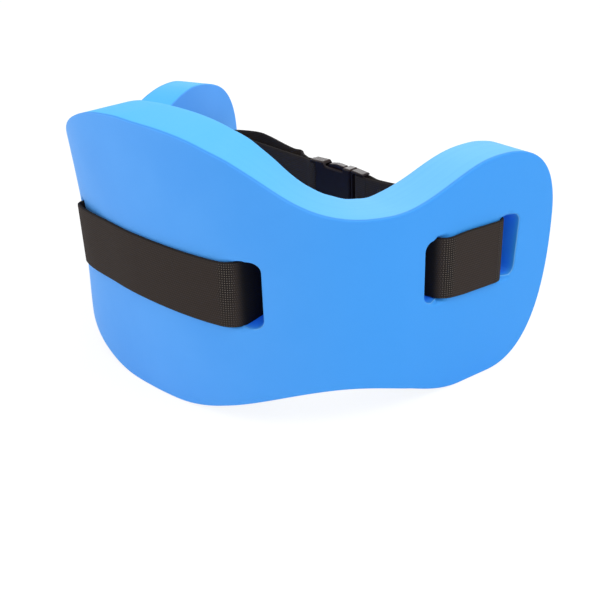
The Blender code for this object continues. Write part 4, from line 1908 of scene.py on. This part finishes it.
@dataclass
class Stitching:
    """Rows of lock stitches that hold the sewn layer and the tail's hem."""

    webbing: Webbing
    thread: float = 0.00034
    pitch: float = 0.0029
    stitch: float = 0.0024
    margin: float = 0.0035
    row_runs: tuple[float, ...] = (0.0135, 0.0160, 0.0290, 0.0315)
    hem_rows: tuple[float, ...] = (0.0050, 0.0075)
    sides: int = 6
    rings: int = 6
    ends_sunk: float = 0.55
    crown: float = 0.95
    fullness: float = 0.6
    sharp: float = math.radians(70.0)

    def sewn_rows(self, outer: bool) -> list[StitchRow]:
        """Rows on the sewn strap.

        Args:
            outer: Whether they lie on its outer face.

        Returns:
            The rows.
        """
        half = self.webbing.cut.thick / 2.0
        away = self.webbing.sewn_lap() + half if outer else -half
        frames = self.webbing.strap_frames()
        rows = []
        for target in self.row_runs:
            _, point, out = min(frames, key=lambda frame: abs(frame[0] - target))
            rows.append(StitchRow(point + out * away, out if outer else -out))
        return rows

    def hem_rows_of(self, tail: Sequence[Vector]) -> list[StitchRow]:
        """Rows on the tail's hem.

        Args:
            tail: The tail's plan points.

        Returns:
            The rows, on both faces.
        """
        along = (tail[-1] - tail[-2]).normalized()
        left = left_of(along)
        half = self.webbing.cut.thick / 2.0
        outer = 2.0 * self.webbing.layer_lap() + half
        rows = []
        for back in self.hem_rows:
            point = tail[-1] - along * back
            rows.append(StitchRow(point + left * outer, left))
            rows.append(StitchRow(point - left * half, -left))
        return rows

    def add_stitch(self, shape: bmesh.types.BMesh, row: StitchRow, low: float) -> None:
        """Add one stitch, whose ends sink into the webbing.

        Args:
            shape: The mesh that it is added to.
            row: Its row.
            low: Height of its lower end.
        """
        out = Vector((*row.out, 0.0))
        side = out.cross(UP)
        rings = []
        for angle in half_turn(self.rings - 1):
            arch = self.crown * math.sin(angle) ** self.fullness
            height = low + self.stitch * angle / math.pi
            centre = Vector((*row.place, height)) - out * self.thread * (self.ends_sunk - arch)
            ring = []
            for j in range(self.sides):
                angle = math.tau * j / self.sides
                turned = out * math.cos(angle) + side * math.sin(angle)
                ring.append(shape.verts.new(centre + turned * self.thread))
            rings.append(ring)
        loft(shape, rings)

    def sew(
        self,
        name: str,
        rows: Sequence[StitchRow],
        material: bpy.types.Material,
        carrier: Carrier,
    ) -> None:
        """Sew rows of stitches as one piece.

        Args:
            name: The piece's name.
            rows: Its rows.
            material: The thread's material.
            carrier: What the piece moves with.
        """
        shape = bmesh.new()
        half = self.webbing.cut.width / 2.0 - self.margin
        count = int(2.0 * half / self.pitch)
        low = self.webbing.buckle_level() - half
        for row in rows:
            for k in range(count):
                self.add_stitch(shape, row, low + k * self.pitch)
        bmesh.ops.recalc_face_normals(shape, faces=shape.faces)
        piece = new_object(name, mesh_from(shape, name))
        dress(piece, material, self.sharp)
        self.webbing.carry(piece, carrier)

    def build(self, finish: ThreadFinish) -> None:
        """Sew the belt.

        Args:
            finish: The thread's finish.
        """
        material = finish.material()
        plan = self.webbing.socket_end_plan()
        hem = len(self.webbing.folded_hem(plan[-2:]))
        self.sew("sewing_outer", self.sewn_rows(True), material, Carrier.PLUG)
        self.sew("sewing_inner", self.sewn_rows(False), material, Carrier.STRAP)
        self.sew("sewing_hem", self.hem_rows_of(plan[:-hem]), material, Carrier.BELT)


# Buckle


@dataclass
class Buckle:
    """The side-release buckle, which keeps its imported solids."""

    nodes: tuple[str, ...] = (
        "buckle_socket",
        "buckle_plug",
        "release_arm_upper",
        "release_arm_lower",
    )
    edge: float = 0.0005
    edge_steps: int = 2
    edge_angle: float = math.radians(35.0)

    def build(self, finish: MouldedFinish) -> None:
        """Dress the mouldings and soften their edges.

        Args:
            finish: Their finish.
        """
        material = finish.material()
        for name in self.nodes:
            node = frame["nodes"][name]
            node.data.materials.clear()
            node.data.materials.append(material)
            soften = node.modifiers.new("soft_edges", "BEVEL")
            soften.width = self.edge
            soften.segments = self.edge_steps
            soften.limit_method = "ANGLE"
            soften.angle_limit = self.edge_angle
            LOG.info("%s: finished", name)


# Studio


@dataclass(frozen=True)
class Softbox:
    """A square softbox: its name, place, target, side and power in watts."""

    name: str
    place: Place
    target: Place
    size: float
    power: float

    def hang(self) -> None:
        """Hang it in the scene."""
        lamp = bpy.data.lights.new(self.name, "AREA")
        lamp.shape = "SQUARE"
        lamp.size = self.size
        lamp.energy = self.power
        holder = new_object(self.name, lamp)
        holder.location = self.place
        aim = Vector(self.target) - Vector(self.place)
        holder.rotation_mode = "QUATERNION"
        holder.rotation_quaternion = aim.to_track_quat("-Z", "Y")


@dataclass
class Studio:
    """Floor, light and camera."""

    frame_size: int = 600
    sensor: float = 36.0
    camera_place: Place = (0.498357, -0.491480, 0.382569)
    azimuth: float = 0.750954
    elevation: float = 0.470446
    roll: float = -0.038395
    focal_pixels: float = 913.96
    clip: Pair = (0.02, 30.0)
    floor_size: float = 14.0
    floor_gap: float = 0.0002
    sky: float = 0.69
    white: Colour = (1.0, 1.0, 1.0)
    lamps: tuple[Softbox, ...] = (
        Softbox("top_softbox", (0.3, -0.3, 1.9), (0.0, 0.0, 0.1), 1.6, 7.2),
        Softbox("front_softbox", (1.6, -1.5, 0.9), (0.0, 0.0, 0.1), 1.5, 4.5),
        Softbox("left_softbox", (-1.7, -1.5, 0.9), (0.0, 0.0, 0.1), 1.4, 5.4),
        Softbox("right_softbox", (1.1, 0.4, 1.5), (-0.15, 0.05, 0.15), 0.8, 8.5),
        Softbox("back_softbox", (-0.90, 1.05, 0.78), (0.0, 0.08, 0.10), 0.6, 3.0),
    )

    def build(self, finish: FloorFinish) -> None:
        """Build the floor, the lamps, the world and the camera.

        Args:
            finish: The floor's finish.
        """
        self.add_floor(finish)
        self.add_world()
        for lamp in self.lamps:
            lamp.hang()
        self.add_camera()
        bpy.context.scene.view_settings.view_transform = "Standard"

    def add_floor(self, finish: FloorFinish) -> None:
        """Lay the floor.

        Args:
            finish: The floor's finish.
        """
        shape = bmesh.new()
        bmesh.ops.create_grid(shape, x_segments=1, y_segments=1, size=self.floor_size / 2.0)
        floor = new_object("studio_floor", mesh_from(shape, "studio_floor"))
        floor.location.z = -self.floor_gap
        floor.data.materials.append(finish.material())

    def add_world(self) -> None:
        """Light the scene from all round, and show the surroundings white."""
        world = bpy.data.worlds.new("studio_world")
        bpy.context.scene.world = world
        tree = ShaderTree(world)
        tree.set(Color=self.white, Strength=self.sky)
        values = {"Color": self.white, "Strength": 1.0}
        shown = tree.add("ShaderNodeBackground", {}, values)
        tree.cover(tree.seen_directly(), shown)

    def add_camera(self) -> None:
        """Set the camera at the photograph's place and angle."""
        lens = bpy.data.cameras.new("photo_camera")
        lens.sensor_width = self.sensor
        lens.lens = self.sensor * self.focal_pixels / self.frame_size
        lens.clip_start, lens.clip_end = self.clip
        camera = new_object("photo_camera", lens)
        a, e = self.azimuth, self.elevation
        back = Vector((math.sin(a) * math.cos(e), -math.cos(a) * math.cos(e), math.sin(e)))
        right = Vector((math.cos(a), math.sin(a), 0.0))
        up = back.cross(right)
        rolled_right = right * math.cos(self.roll) + up * math.sin(self.roll)
        rolled_up = up * math.cos(self.roll) - right * math.sin(self.roll)
        turn = Matrix((rolled_right, rolled_up, back)).transposed().to_4x4()
        camera.matrix_world = Matrix.Translation(self.camera_place) @ turn
        bpy.context.scene.camera = camera


def main() -> None:
    """Build the dressed belt and its studio."""
    logging.basicConfig(level=logging.INFO, format="%(message)s")
    slab = SlabFrame()
    slots = [
        WebbingSlot(-0.282736, turn=0.0040),
        WebbingSlot(-0.2070008),
        WebbingSlot(-0.0905, half_height=0.0252, turn=0.0055),
        WebbingSlot(
            0.085116, rise=-0.0028, half_height=0.0254, turn=0.0140, threaded=-0.0009
        ),
        WebbingSlot(0.2070008, rise=-0.0023, half_height=0.0241, turn=0.0125),
        WebbingSlot(
            0.282736,
            rise=-0.0026,
            half_height=0.0256,
            threaded=-0.0010,
            far_lean=0.0035,
            far_lift=0.0012,
            near_drop=0.0026,
        ),
    ]
    pull = SlabPull()
    webbing = Webbing(slab, BuckleFrame(), slots, pull)
    Studio().build(FloorFinish())
    FoamFloat(slab, LobedOutline(), slots, webbing.folds(), pull).build(FoamFinish())
    webbing.build(WebbingFinish())
    Stitching(webbing).build(ThreadFinish())
    Buckle().build(MouldedFinish())


if __name__ == "__main__":
    main()
